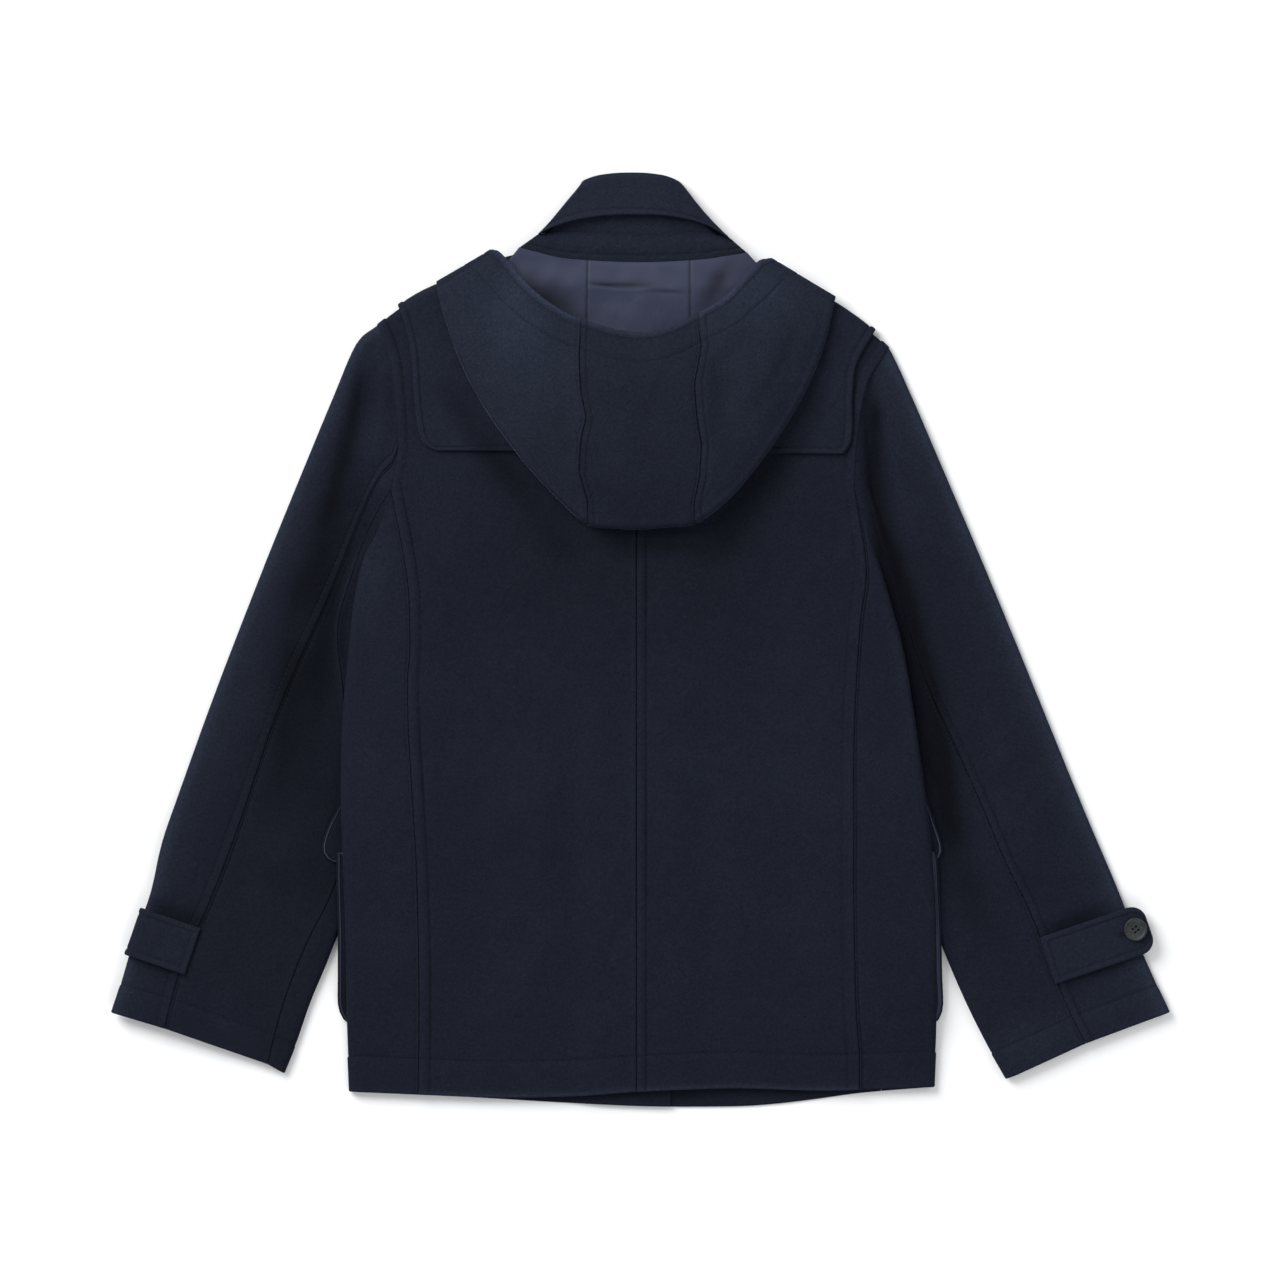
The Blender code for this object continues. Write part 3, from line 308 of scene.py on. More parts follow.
# %% [markdown]
# ## From a paper outline to a wall of cloth
# Sewing changes the cloth beside each edge.  The edge itself is rounded, the seam allowance under
# it makes a low welt, and the topstitching presses a narrow groove.  The points of a piece are
# therefore placed by their distance from its edges: close together where the cloth changes, and
# wide apart where it is plain.  That gives true grooves and welts with few faces.

# %% Points spaced by their distance from the edges
PLAIN_STEP = 3.6
TURN_WEIGHT = 9.0


def marks(lines, step):
    """Distances from an edge at which a piece has points, close together at its stitching."""
    wanted = [0.0, 0.12, 0.45, 1.0, 1.8, 3.0]
    for line in lines:
        wanted += [line - 1.7, line - 0.8, line, line + 0.8, line + 1.7, line + 3.4]
    wanted = sorted(place for place in wanted if place >= 0)
    kept = [0.0]
    for place in wanted[1:]:
        gap = place - kept[-1]
        if gap > 0.1:
            pieces = math.ceil(gap / step)
            kept += list(kept[-1] + gap * np.arange(1, pieces + 1) / pieces)
    return np.array(kept)


def travelled(grid):
    """How far along its row each point of a grid lies."""
    steps = np.linalg.norm(np.diff(grid, axis=1), axis=2)
    return np.concatenate([np.zeros((len(grid), 1)), np.cumsum(steps, axis=1)], axis=1)


def turned_along(normal):
    """How far the cloth has turned by each point of a row, in radians."""
    turns = np.arccos(np.clip((normal[:, 1:] * normal[:, :-1]).sum(axis=2), -1, 1))
    return np.concatenate([np.zeros((len(normal), 1)), np.cumsum(turns, axis=1)], axis=1)


def respace(middle, normal, start, end, step):
    """Read every row again: at set distances from both ends, and between them closer where it turns."""
    lengths = travelled(middle)
    measures = lengths + TURN_WEIGHT * turned_along(normal)
    count = max(2, math.ceil((measures[:, -1].max() - start[-1] - end[-1]) / step))
    new_middle, new_normal = [], []
    for points, directions, along, measure in zip(middle, normal, lengths, measures):
        total = along[-1]
        squeeze = min(1.0, 0.46 * total / max(start[-1], end[-1]))
        ends = np.interp([start[-1] * squeeze, total - end[-1] * squeeze], along, measure)
        between = np.interp(np.linspace(*ends, count + 1)[1:-1], measure, along)
        wanted = np.concatenate([start * squeeze, between, total - end[::-1] * squeeze])
        new_middle.append([np.interp(wanted, along, column) for column in points.T])
        new_normal.append([np.interp(wanted, along, column) for column in directions.T])
    new_middle = np.array(new_middle).transpose(0, 2, 1)
    new_normal = np.array(new_normal).transpose(0, 2, 1)
    return new_middle, new_normal / np.linalg.norm(new_normal, axis=2, keepdims=True)


print("points beside a topstitched seam:", marks([8.5], PLAIN_STEP).round(1).tolist())

# %% [markdown]
# ## The wall of cloth itself
# A wall of cloth is two skins a thickness apart, joined at a rounded edge.  A flat sheet with a
# picture of a seam would look thin from the side, so the welt over the seam allowance, the groove
# that each stitched line presses and the small puckers across it are all shaped.  Painted shade
# along the stitching and the edges, and painted light and shade over each piece, are kept with each
# point, so that the material can follow them.

# %% Thickness, rounded edges, welts and grooves
MATERIALS = {}
EDGE_ROUND = 1.15
WELT_ROUND = 3.4
GROOVE_DEPTH = 0.6
GROOVE_WIDTH = 0.9
PUCKER_HEIGHT, PUCKER_WIDTH, PUCKER_LENGTH = 0.14, 4.0, 2.6
WELT_EASE = 0.35
# Painted shade along each stitched line and, by default, along the edges: how much darker and how wide.
PAINTED_SEAM_SHADE, PAINTED_SEAM_SHADE_WIDTH = 0.12, 1.2
EDGE_SHADE_WIDTH = 1.3


def rounded(distance):
    """Share of the full thickness at a distance from a rounded edge."""
    inside = np.clip(1 - distance / EDGE_ROUND, 0, 1)
    return np.sqrt(np.clip(1 - inside ** 2, 0.03, 1))


def stitched_relief(distance, along, line, welt):
    """The welt beside an edge, its pressed stitching and the small puckers across it."""
    depth_in = np.clip(np.minimum(distance + 1.0, line - distance) / WELT_ROUND, 0, 1)
    dome = welt * np.sqrt(1 - (1 - depth_in) ** 2)
    groove = GROOVE_DEPTH * near(distance - line, GROOVE_WIDTH)
    pucker = PUCKER_HEIGHT * np.sin(along / PUCKER_LENGTH + 2.2 * np.sin(along / 17.0 + line))
    ease = 1 + WELT_EASE * np.sin(along / 31.0 + 2 * line)
    return dome * ease - groove + pucker * near(distance - line, PUCKER_WIDTH)


def nearest_edge(distance):
    return np.minimum.reduce([distance[side] for side in distance])


def stitched(distance, lines, along, welt, edge_shade):
    """What every stitched line of a piece does to its height, and the painted shade along it and the edges.
    """
    relief, pressed = 0, edge_shade * near(nearest_edge(distance), EDGE_SHADE_WIDTH)
    for line in sorted({line for side in lines for line in lines[side]}):
        nearest = np.minimum.reduce([distance[side] for side in lines if line in lines[side]])
        relief = relief + stitched_relief(nearest, along, line, welt)
        pressed = np.maximum(pressed, PAINTED_SEAM_SHADE * near(nearest - line, PAINTED_SEAM_SHADE_WIDTH))
    return relief, pressed


def make_mesh(name, outer, inner, materials, pressed, nap, trimmed):
    """One closed mesh from two grids of points in millimetres.

    The grid of painted shade holds how much darker each outer point is drawn, the grid of painted light
    and shade how much its colour is scaled, and `trimmed` marks the outer faces of a facing.  `materials`
    are the outer, inner and facing ones.
    """
    rows, columns = outer.shape[:2]
    count = rows * columns
    corner = (np.arange(rows - 1)[:, None] * columns + np.arange(columns - 1)).ravel()
    top = np.column_stack([corner, corner + 1, corner + columns + 1, corner + columns])
    below = top[:, ::-1] + count
    rim = np.concatenate([np.arange(columns), np.arange(1, rows) * columns + columns - 1,
                          (rows - 1) * columns + np.arange(columns - 2, -1, -1),
                          np.arange(rows - 2, 0, -1) * columns])
    after = np.roll(rim, -1)
    side = np.column_stack([rim, rim + count, after + count, after])
    piece = add_mesh(name, np.vstack([outer.reshape(-1, 3), inner.reshape(-1, 3)]),
                     np.vstack([top, below, side]).tolist())
    mesh = piece.data
    row, column = rows // 2, columns // 2
    here = outer[row, column]
    facing = np.cross(outer[row, column + 1] - here, outer[row + 1, column] - here)
    if facing @ (here - inner[row, column]) < 0:
        mesh.flip_normals()
    for material in materials:
        mesh.materials.append(material)
    top_slots = 2 * trimmed[:-1, :-1].ravel().astype(int)
    mesh.polygons.foreach_set("material_index", top_slots.tolist() + [1] * len(below) + [0] * len(side))
    # Painted light and shade, and painted shade along the seams, are kept on the points for the material.
    for share, over, under in (("nap", nap, nap), ("pressed", pressed, np.zeros(count))):
        values = mesh.attributes.new(share, "FLOAT", "POINT")
        values.data.foreach_set("value", np.concatenate([over.ravel(), under.ravel()]).astype(np.float32))
    mesh.update()
    return piece


print("an edge is rounded over", EDGE_ROUND, "mm, a welt over", WELT_ROUND, "mm")

# Each pattern piece has its own share of painted light and shade, which brightens or darkens its whole
# colour. The outer skin is kept, so that stitches can be sewn into it later.

PAINTED_PIECE_LIGHT = {"front_left": 0.85, "front_right": 0.85, "side_left": 0.98, "side_right": 0.98,
       "sleeve_left_upper": 0.82, "sleeve_left_under": 0.82, "sleeve_right_upper": 1.03,
       "sleeve_right_under": 1.03, "yoke": 1.15, "hood_left": 1.38, "hood_centre": 1.16, "hood_right": 1.36,
       "hood_band": 1.2, "collar_fall": 1.28, "collar_stand": 1.28, "pocket_left": 0.7, "pocket_right": 1.05,
       "pocket_flap_left": 0.7, "pocket_flap_right": 1.05, "cuff_strap_left": 1.1, "cuff_strap_right": 1.3}
# A painted highlight along each welt: its strength, its distance from the edge and its width.  The painted
# strokes are held between the limits below.
WELT_PAINTED_HIGHLIGHT, WELT_HIGHLIGHT_MIDDLE, WELT_HIGHLIGHT_WIDTH = 0.12, 2.2, 2.4
PAINTED_STROKE_LIMIT = (0.28, 2.0)
FOLD_AT_EDGE = 0.35
FOLD_FADE = 9.0
CROWN_FADE = 0.8
HIDDEN_EDGE = 0.2
LOWEST_SEWN = -0.2
SIDES = ("left", "right", "top", "bottom")
sewn = {}


def spaced(middle, normal, lines, step):
    """A grid read again both ways, its points close together beside edges and stitching."""
    for first, last in (("left", "right"), ("top", "bottom")):
        middle, normal = respace(middle, normal, marks(lines[first], step), marks(lines[last], step), step)
        middle, normal = middle.swapaxes(0, 1), normal.swapaxes(0, 1)
    return middle, normal


def laid(middle, normal, near_edge, lift, table, down_share, limit, crown):
    """The cloth laid on its ground with its folds, which are weaker where it faces down."""
    x, y = middle[..., 0], middle[..., 1]
    up = normal[..., 2]
    middle = middle.copy()
    middle[..., 2] += lift(x, y)
    if crown is not None:
        middle[..., 2] += crown(x, y) * smoothstep(up / CROWN_FADE)
    wave = np.clip(folds(x, y, table) + settle(x, y), *limit)
    wave = wave * (FOLD_AT_EDGE + (1 - FOLD_AT_EDGE) * smoothstep(near_edge / FOLD_FADE))
    middle[..., 2] += np.where(up > 0, wave, np.maximum(wave, 0)) * (
        np.clip(up, 0, 1) + down_share * np.clip(-up, 0, 1))
    return middle


def nap_light(node, x, y, distance, painted_highlight, brushed, edge_glow):
    """Painted light and shade: the piece's share, a painted highlight on welts and along a bright edge, and
    painted strokes.
    """
    light = PAINTED_PIECE_LIGHT.get(node, 1.0) * (1 + painted_highlight * near(nearest_edge(distance) - WELT_HIGHLIGHT_MIDDLE, WELT_HIGHLIGHT_WIDTH))
    if brushed is not None:
        light = light * np.clip(brushed(x, y), *PAINTED_STROKE_LIMIT)
    if edge_glow is not None:
        side, amount, reach = edge_glow
        light = light * (1 + amount * near(distance[side], reach))
    return light


def cut_piece(node, middle, normal, lift, edges, table=(), step=PLAIN_STEP, cloth="melton", inside=None,
              thick=WOOL, welt=1.0, held="laid", rests_on=(), down_share=0.35, limit=(-np.inf, np.inf),
              crown=None, facing_strip=(0, 0), painted_crease_shade=None, line_share=None, edge_shade=PAINTED_SEAM_SHADE,
              brushed=None, edge_glow=None):
    lines = {side: edges.get(side, ()) for side in SIDES}
    middle, normal = spaced(middle, normal, lines, step)
    across = travelled(middle)
    down = travelled(middle.swapaxes(0, 1)).T
    distance = {"left": across, "right": across[:, -1:] - across, "top": down, "bottom": down[-1:] - down}
    near_edge = nearest_edge(distance)
    x, y = middle[..., 0], middle[..., 1]
    middle = laid(middle, normal, near_edge, lift, table, down_share, limit, crown)
    kept_lines = np.ones(x.shape) if line_share is None else line_share(x, y)
    relief, pressed = stitched(distance, lines, across + down, welt, edge_shade)
    relief = (relief * kept_lines * (normal[..., 2] > LOWEST_SEWN))[..., None] * normal
    pressed = pressed * kept_lines
    # Painted shade in creases and hollows goes over the painted shade of the seams.
    if painted_crease_shade is not None:
        pressed = np.maximum(pressed, painted_crease_shade(x, y))
    thickness = np.minimum.reduce([rounded(distance[side]) for side in distance])
    thickness = 1 - (1 - thickness) * (HIDDEN_EDGE + (1 - HIDDEN_EDGE) * kept_lines)
    half = normal * (thick / 2 * thickness)[..., None]
    outer, inner = middle + half + relief, middle - half
    trimmed = (near_edge > facing_strip[0]) & (near_edge < facing_strip[1])
    nap = nap_light(node, x, y, distance, WELT_PAINTED_HIGHLIGHT * welt * kept_lines, brushed, edge_glow)
    materials = [MATERIALS[name] for name in (cloth, inside or cloth, "facing")]
    piece = make_mesh(node + "_cloth", outer, inner, materials, pressed, nap, trimmed)
    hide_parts(node)
    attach(piece, "root")
    sewn[node] = {"outer": outer, "distance": distance, "lines": lines, "kept_lines": kept_lines}


print("pieces with their own share of light:", len(PAINTED_PIECE_LIGHT))

# %% [markdown]
# ## Finishes from noise
# No finish here is a picture: each is built from noise in the cloth's own metres, so its fibres
# keep their real size.  Every one of them needs the same few nodes, so a small class adds them.

# %% Short ways to add nodes
class Shading:
    """A new material's nodes, with short ways to add to them."""

    def __init__(self, name):
        self.material = bpy.data.materials.new(name)
        self.material.use_nodes = True
        self.nodes = self.material.node_tree.nodes
        self.place = self.node("ShaderNodeTexCoord", {})["Object"]

    def feed(self, socket, value):
        """Give a socket a number, a colour or another node's output."""
        if isinstance(value, bpy.types.NodeSocket):
            self.material.node_tree.links.new(value, socket)
        else:
            socket.default_value = (*value, 1) if socket.type == "RGBA" else value

    def node(self, kind, fed, **settings):
        """A new node, its sockets fed by name or number; its outputs are given back."""
        node = self.nodes.new(kind)
        for name, value in settings.items():
            setattr(node, name, value)
        for name, value in fed.items():
            self.feed(node.inputs[name], value)
        return node.outputs

    def noise(self, scale, detail, stretch=(1, 1, 1), roughness=0.6):
        """Noise with a number of cells per metre, stretched along the axes."""
        place = self.node("ShaderNodeMapping", {"Vector": self.place, "Scale": stretch})["Vector"]
        return self.node("ShaderNodeTexNoise", {"Vector": place, "Scale": scale, "Detail": detail,
                                                "Roughness": roughness})["Fac"]

    def ramp(self, share, low, high, between):
        """A colour that goes from low to high as the share goes from one number to another."""
        node = self.nodes.new("ShaderNodeValToRGB")
        for element, position, colour in zip(node.color_ramp.elements, between, (low, high)):
            element.position = position
            element.color = (*colour, 1)
        self.feed(node.inputs["Fac"], share)
        return node.outputs["Color"]

    def mixed(self, share, first, second, how):
        fed = {"Factor": share, 6: first, 7: second}
        return self.node("ShaderNodeMix", fed, data_type="RGBA", blend_type=how)[2]

    def bumped(self, height, distance, strength, base=None):
        fed = {"Height": height, "Distance": distance, "Strength": strength}
        if base is not None:
            fed["Normal"] = base
        return self.node("ShaderNodeBump", fed)["Normal"]

    def painted_light_and_shade(self, colour, strength):
        """Painted shade darkens a colour along seams, edges and creases, and painted light and shade scale
        it.
        """
        low = 1.0 - strength
        pressed = self.node("ShaderNodeAttribute", {}, attribute_name="pressed")["Fac"]
        shade = self.ramp(pressed, (1, 1, 1), (low, low, low), (0.0, 1.0))
        nap = self.node("ShaderNodeAttribute", {}, attribute_name="nap")["Fac"]
        fed = {0: self.mixed(1.0, colour, shade, "MULTIPLY"), "Scale": nap}
        return self.node("ShaderNodeVectorMath", fed, operation="SCALE")["Vector"]

    def finished(self, values):
        """The material, with values and nodes given to its own shader."""
        for name, value in values.items():
            self.feed(self.nodes["Principled BSDF"].inputs[name], value)
        return self.material


print("ways to add nodes:", [name for name in vars(Shading) if not name.startswith("_")])

# %% [markdown]
# ### Milled wool melton
# Melton has no visible weave: fulling turns it into a felted face with a short nap.  Up close it is
# a mass of fine fibres, some paler than others, and its colour drifts a little from place to place.
# The nap catches light at grazing angles, which the shader's sheen gives.  Noise in the cloth's own
# millimetres keeps the fibres at their real size, and two noises drawn out along the nap give it
# a direction.

# %% Melton from noise and sheen
LINT = (0.030, 0.035, 0.050)
SHEEN_TINT = (0.50, 0.57, 0.80)


def melton(name, dark, pale):
    cloth = Shading(name)
    fibres = cloth.noise(1500, 5, (1.6, 0.5, 1), 0.7)
    crossed = cloth.noise(1100, 4, (0.5, 1.4, 1), 0.65)
    tufts = cloth.noise(330, 4, (1, 0.7, 1))
    drift = cloth.noise(26, 3)
    mottle = cloth.noise(420, 3, (1, 1, 1), 0.7)
    flecks = cloth.noise(520, 2, (1, 0.35, 1), 0.4)
    colour = cloth.ramp(fibres, dark, pale, (0.32, 0.72))
    mottled = cloth.ramp(mottle, (0.84, 0.84, 0.86), (1.17, 1.16, 1.14), (0.36, 0.64))
    cloudy = cloth.ramp(drift, (0.93, 0.93, 0.95), (1.06, 1.06, 1.05), (0.3, 0.7))
    for shade in (mottled, cloudy):
        colour = cloth.mixed(1.0, colour, shade, "MULTIPLY")
    fleck_share = cloth.ramp(flecks, (0, 0, 0), (0.35, 0.35, 0.35), (0.74, 0.82))
    colour = cloth.mixed(fleck_share, colour, LINT, "MIX")
    normal = cloth.bumped(tufts, 0.0009, 0.35)
    normal = cloth.bumped(fibres, 0.0005, 0.5, normal)
    normal = cloth.bumped(crossed, 0.0004, 0.35, normal)
    # Painted light and shade scale both the colour and the sheen's tint.
    return cloth.finished({"Base Color": cloth.painted_light_and_shade(colour, 0.6), "Sheen Tint": cloth.painted_light_and_shade(SHEEN_TINT, 0.9),
                           "Normal": normal, "Roughness": 0.92, "Specular IOR Level": 0.06,
                           "Sheen Weight": 0.22, "Sheen Roughness": 0.2})


MATERIALS["melton"] = melton("navy_melton", (0.0046, 0.0060, 0.0107), (0.0139, 0.0172, 0.0277))
print("melton made with", len(MATERIALS["melton"].node_tree.nodes), "nodes")

# %% [markdown]
# ## Satin, facing, thread and button
# The hood is lined with satin: fine warp threads float over the surface, so it is smoother than the
# wool and shows soft highlights across the threads.  The pocket edges show a strip of the same
# blue satin facing.  Topstitching thread is a plied cord with a slight gloss, and the cuff buttons
# are cast resin, dark and a little cloudy.

# %% Satin, thread and resin
def satin(name, dark, pale, along=(1, 0.05, 1)):
    cloth = Shading(name)
    threads = cloth.noise(3000, 3, along)
    slubs = cloth.noise(500, 3, along)
    drift = cloth.noise(18, 2)
    colour = cloth.ramp(threads, dark, pale, (0.3, 0.7))
    cloudy = cloth.ramp(drift, (0.9, 0.9, 0.92), (1.1, 1.09, 1.07), (0.3, 0.7))
    colour = cloth.mixed(1.0, colour, cloudy, "MULTIPLY")
    normal = cloth.bumped(threads, 0.0001, 0.2, cloth.bumped(slubs, 0.0002, 0.12))
    # Painted shade darkens the satin's seams and hollows more strongly than the wool's.
    return cloth.finished({"Base Color": cloth.painted_light_and_shade(colour, 0.85), "Normal": normal, "Roughness": 0.5,
                           "Specular IOR Level": 0.16, "Anisotropic": 0.35, "Sheen Weight": 0.06,
                           "Sheen Roughness": 0.3, "Sheen Tint": (0.6, 0.65, 0.9)})


def cloudy(name, scales, details, stretch, colours, bump, roughness, specular):
    """A plain finish: one noise clouds its colour, and one, which may be the same, its surface."""
    finish = Shading(name)
    cloud = finish.noise(scales[0], details[0])
    grain = cloud if len(scales) == 1 else finish.noise(scales[1], details[1], stretch)
    return finish.finished({"Base Color": finish.ramp(cloud, *colours, (0.35, 0.65)),
                            "Normal": finish.bumped(grain, *bump), "Roughness": roughness,
                            "Specular IOR Level": specular})


MATERIALS["satin"] = satin("hood_satin", (0.023, 0.027, 0.050), (0.033, 0.038, 0.069))
MATERIALS["facing"] = satin("pocket_facing", (0.034, 0.041, 0.072), (0.055, 0.066, 0.108), (0.2, 1, 1))
MATERIALS["thread"] = cloudy("topstitch_thread", (2500,), (2,), None,
                             ((0.0025, 0.003, 0.0055), (0.008, 0.0095, 0.0155)), (0.0002, 0.5), 0.75, 0.2)
MATERIALS["resin"] = cloudy("button_resin", (160, 1400), (4, 3), (1, 0.1, 1),
                            ((0.014, 0.0165, 0.0175), (0.038, 0.043, 0.044)), (0.00005, 0.25), 0.46, 0.28)
print("materials:", ", ".join(sorted(MATERIALS)))

# %% [markdown]
# ## Backs and fronts
# The back is two panels joined at the centre.  Each starts at the shoulder, where the cloth turns
# over to the front, and runs past the armhole and down the side-back seam to the hem.  The fronts
# are cut alike but lie underneath, lapped at the centre, and turn their upper side to the table.

# %% Seams and edges of the body
SIDE_SEAM_LEFT = ((-217, 130), (-206, 75), (-201, 38), (-200, -10), (-202, -36), (-201, -84),
                  (-198, -133), (-194, -206), (-192, -304), (-193, -396))
SIDE_SEAM_RIGHT = ((187, 130), (197, 63), (192, 15), (188, -45), (186, -105), (186, -165),
                   (186, -225), (188, -317), (191, -360), (191, -392))
ARMHOLE_LEFT = ((-229, 273), (-221, 254), (-216, 234), (-213, 205), (-211, 176), (-212, 157), (-217, 130))
ARMHOLE_RIGHT = ((217, 253), (207, 238), (199, 224), (193, 200), (190, 177), (188, 157), (187, 130))
SHOULDER_LEFT = ((-229, 273), (-211, 287), (-191, 299), (-165, 311), (-130, 328), (-100, 339))
SHOULDER_RIGHT = ((217, 253), (204, 265), (184, 280), (165, 293), (130, 315), (84, 336))
NECK_BACK_Y = 344.0
NECK_FRONT_Y = 262.0
BODY_TOP_Y = 130.0
HEM_BACK = ((-253, -394), (-183, -397), (-130, -399), (-60, -398), (-3, -394), (80, -391),
            (150, -393), (202, -392), (257, -390))
HEM_FRONT = ((-253, -394), (-183, -397), (-130, -400), (-60, -404), (10, -407), (80, -407),
             (115, -405), (150, -401), (195, -395), (257, -390))
CENTRE_BACK_X = -3.0
FRONT_SEAM_IN = 46.0
ARMHOLE_STEPS = 32
SHOULDER_SHARE = 0.65
NECK_EASE = 0.14
BODY_ROWS = 96
NARROW_ROWS = 8
LAST_ROW_ABOVE_HEM = 6
READING_STEPS = 240


def x_at(edge, y):
    line = through(edge, READING_STEPS)[::-1]
    return np.interp(y, line[:, 1], line[:, 0])


def y_at(hem, x):
    line = through(hem, READING_STEPS)
    return np.interp(x, line[:, 0], line[:, 1])


def side_rows(sign):
    """For each row down the side: the seam to the back, the side edge and the seam to the front."""
    seam, edge = (SIDE_SEAM_LEFT, SIDE_EDGE_LEFT) if sign < 0 else (SIDE_SEAM_RIGHT, SIDE_EDGE_RIGHT)
    rows = [(np.array(seam[0], float), np.array(edge[0], float), np.array(seam[0], float))]
    for y in np.linspace(BODY_TOP_Y, HEM_BACK[0][1] + LAST_ROW_ABOVE_HEM, BODY_ROWS)[NARROW_ROWS:]:
        edge_x = x_at(edge, y)
        share = min(1.0, (BODY_TOP_Y - y) / FRONT_SEAM_IN)
        front_x = (1 - share) * seam[0][0] + share * (edge_x - sign * FRONT_SEAM_IN)
        rows.append((np.array([x_at(seam, y), y]), np.array([edge_x, y]), np.array([front_x, y])))
    back_x, edge_x = seam[-1][0], edge[-1][0]
    front_x = edge_x - sign * FRONT_SEAM_IN
    rows.append((np.array([back_x, y_at(HEM_BACK, back_x)]), np.array([edge_x, y_at(HEM_BACK, edge_x)]),
                 np.array([front_x, y_at(HEM_FRONT, front_x)])))
    return rows


print("rows down each side:", len(side_rows(-1)))

# %% [markdown]
# ### Turning at a fold
# Where cloth turns over, at a shoulder, a side or a sleeve's edge, it goes round a half ellipse:
# as high as the two layers and a few millimetres deep.

# %% Folds over an edge
FOLD_STEPS = 8


def fold_over(plan, weights, half_height, reach):
    """Bring the top row of a panel round a shoulder's fold, more where its weight is higher."""
    step = plan[1] - plan[0]
    inward = step / np.linalg.norm(step, axis=1, keepdims=True)
    rows, normals = [], []
    for turn in range(FOLD_STEPS):
        angle = math.pi / 2 * (1 - turn / FOLD_STEPS)
        place = plan[0] + inward * (WOOL / 2 + reach * (1 - math.sin(angle)))
        angles = angle * weights
        rows.append(np.column_stack([place, half_height * np.cos(angles)]))
        normal = np.column_stack([-inward * (np.sin(angles) / reach)[:, None], np.cos(angles) / half_height])
        normals.append(normal / np.linalg.norm(normal, axis=1, keepdims=True))
    start = plan[0] + inward * (WOOL / 2 + reach)
    later = plan[1:][np.linalg.norm(plan[1:] - plan[:1], axis=2).min(axis=1) > reach + WOOL]
    flat = np.concatenate([start[None], later])
    upright = np.zeros(flat.shape[:2] + (3,))
    upright[..., 2] = 1.0
    return (np.concatenate([np.array(rows), np.dstack([flat, np.full(flat.shape[:2], half_height)])]),
            np.concatenate([np.array(normals), upright]))


def draw_in(grid, amount, sides):
    """Pull edges of a grid inwards along its own rows and columns, to leave a seam's gap."""
    grid = grid.copy()
    for side, edge, inner in (("left", (slice(None), 0), (slice(None), 1)), ("top", (0,), (1,)),
                              ("right", (slice(None), -1), (slice(None), -2)), ("bottom", (-1,), (-2,))):
        if side in sides:
            step = grid[inner] - grid[edge]
            grid[edge] = grid[edge] + step / np.linalg.norm(step, axis=-1, keepdims=True) * amount
    return grid


def body_plan(sign, steps, centre_x, neck_y, hem, seam_column):
    """Plan of a back or front: above the underarm between armhole and centre, below it to the hem."""
    armhole = through(ARMHOLE_LEFT if sign < 0 else ARMHOLE_RIGHT, ARMHOLE_STEPS)
    shoulder = SHOULDER_LEFT if sign < 0 else SHOULDER_RIGHT
    shoulder_steps = int(steps * SHOULDER_SHARE)
    share = np.linspace(0, 1, steps - shoulder_steps + 1)[1:]
    neck = np.column_stack([shoulder[-1][0] + (centre_x - shoulder[-1][0]) * share,
                            shoulder[-1][1] + (neck_y - shoulder[-1][1]) * np.sin(share * math.pi / 2)])
    top = np.vstack([through(shoulder, shoulder_steps), neck])
    bottom = np.column_stack([np.linspace(armhole[-1][0], centre_x, steps + 1),
                              np.full(steps + 1, armhole[-1][1])])
    centre = np.column_stack([np.full(ARMHOLE_STEPS + 1, centre_x),
                              np.linspace(top[-1][1], armhole[-1][1], ARMHOLE_STEPS + 1)])
    upper = patch(top, bottom, armhole, centre)
    weights = faded(np.arange(steps + 1) / shoulder_steps, 1 - NECK_EASE, NECK_EASE)
    seam = [row[seam_column] for row in side_rows(sign)]
    lower = [np.column_stack([np.linspace(place[0], centre_x, steps + 1), np.full(steps + 1, place[1])])
             for place in seam[1:-1]]
    xs = np.linspace(seam[-1][0], centre_x, steps + 1)
    lower.append(np.column_stack([xs, y_at(hem, xs)]))
    return np.concatenate([upper, np.array(lower)]), weights


print("fold of the shoulder:", FOLD_STEPS, "steps over", 2 * TUBE_HALF_HEIGHT, "mm")

# %% [markdown]
# ### Folds of the body
# The back's folds start at the armholes and run down the panels; short ones cross above the hem.
# They are only a millimetre high, because the coat was smoothed by hand when it was laid out.  Strokes
# of painted shade darken the back beside the hood, where its shadow falls, and strokes of painted light
# brighten it along the side seams.

# %% Folds, painted light and painted shade of the body
BODY_FOLDS = (
    (-148, 148, -160, -55, 8, 22, -1.0), (-104, 70, -118, -190, -10, 30, 0.9),
    (-40, 35, -44, -225, 6, 26, -0.7), (52, 70, 70, -158, 8, 34, 0.8), (130, 104, 140, -105, -6, 26, -0.9),
    (-202, 120, -148, 34, -8, 9, -0.9), (-190, 88, -122, 16, 10, 12, 0.8),
    (183, 120, 139, 34, 6, 9, -0.9), (178, 82, 113, -2, -8, 13, 0.8),
    (-182, -227, -70, -253, 9, 24, 0.6), (52, -270, 191, -227, -12, 24, -0.7),
    (-230, -60, -236, -210, 5, 12, 0.7), (226, -90, 236, -230, -5, 12, 0.7),
    (-226, -350, -227, -398, 3, 18, 0.8), (-104, -340, -109, -402, 4, 20, -0.6),
    (104, -335, 100, -398, -4, 22, 0.6), (205, -345, 207, -396, 2, 16, -0.5),
    (-20, -120, 60, -150, 6, 20, 0.4), (-90, -60, -30, -96, -8, 16, -0.4),
)
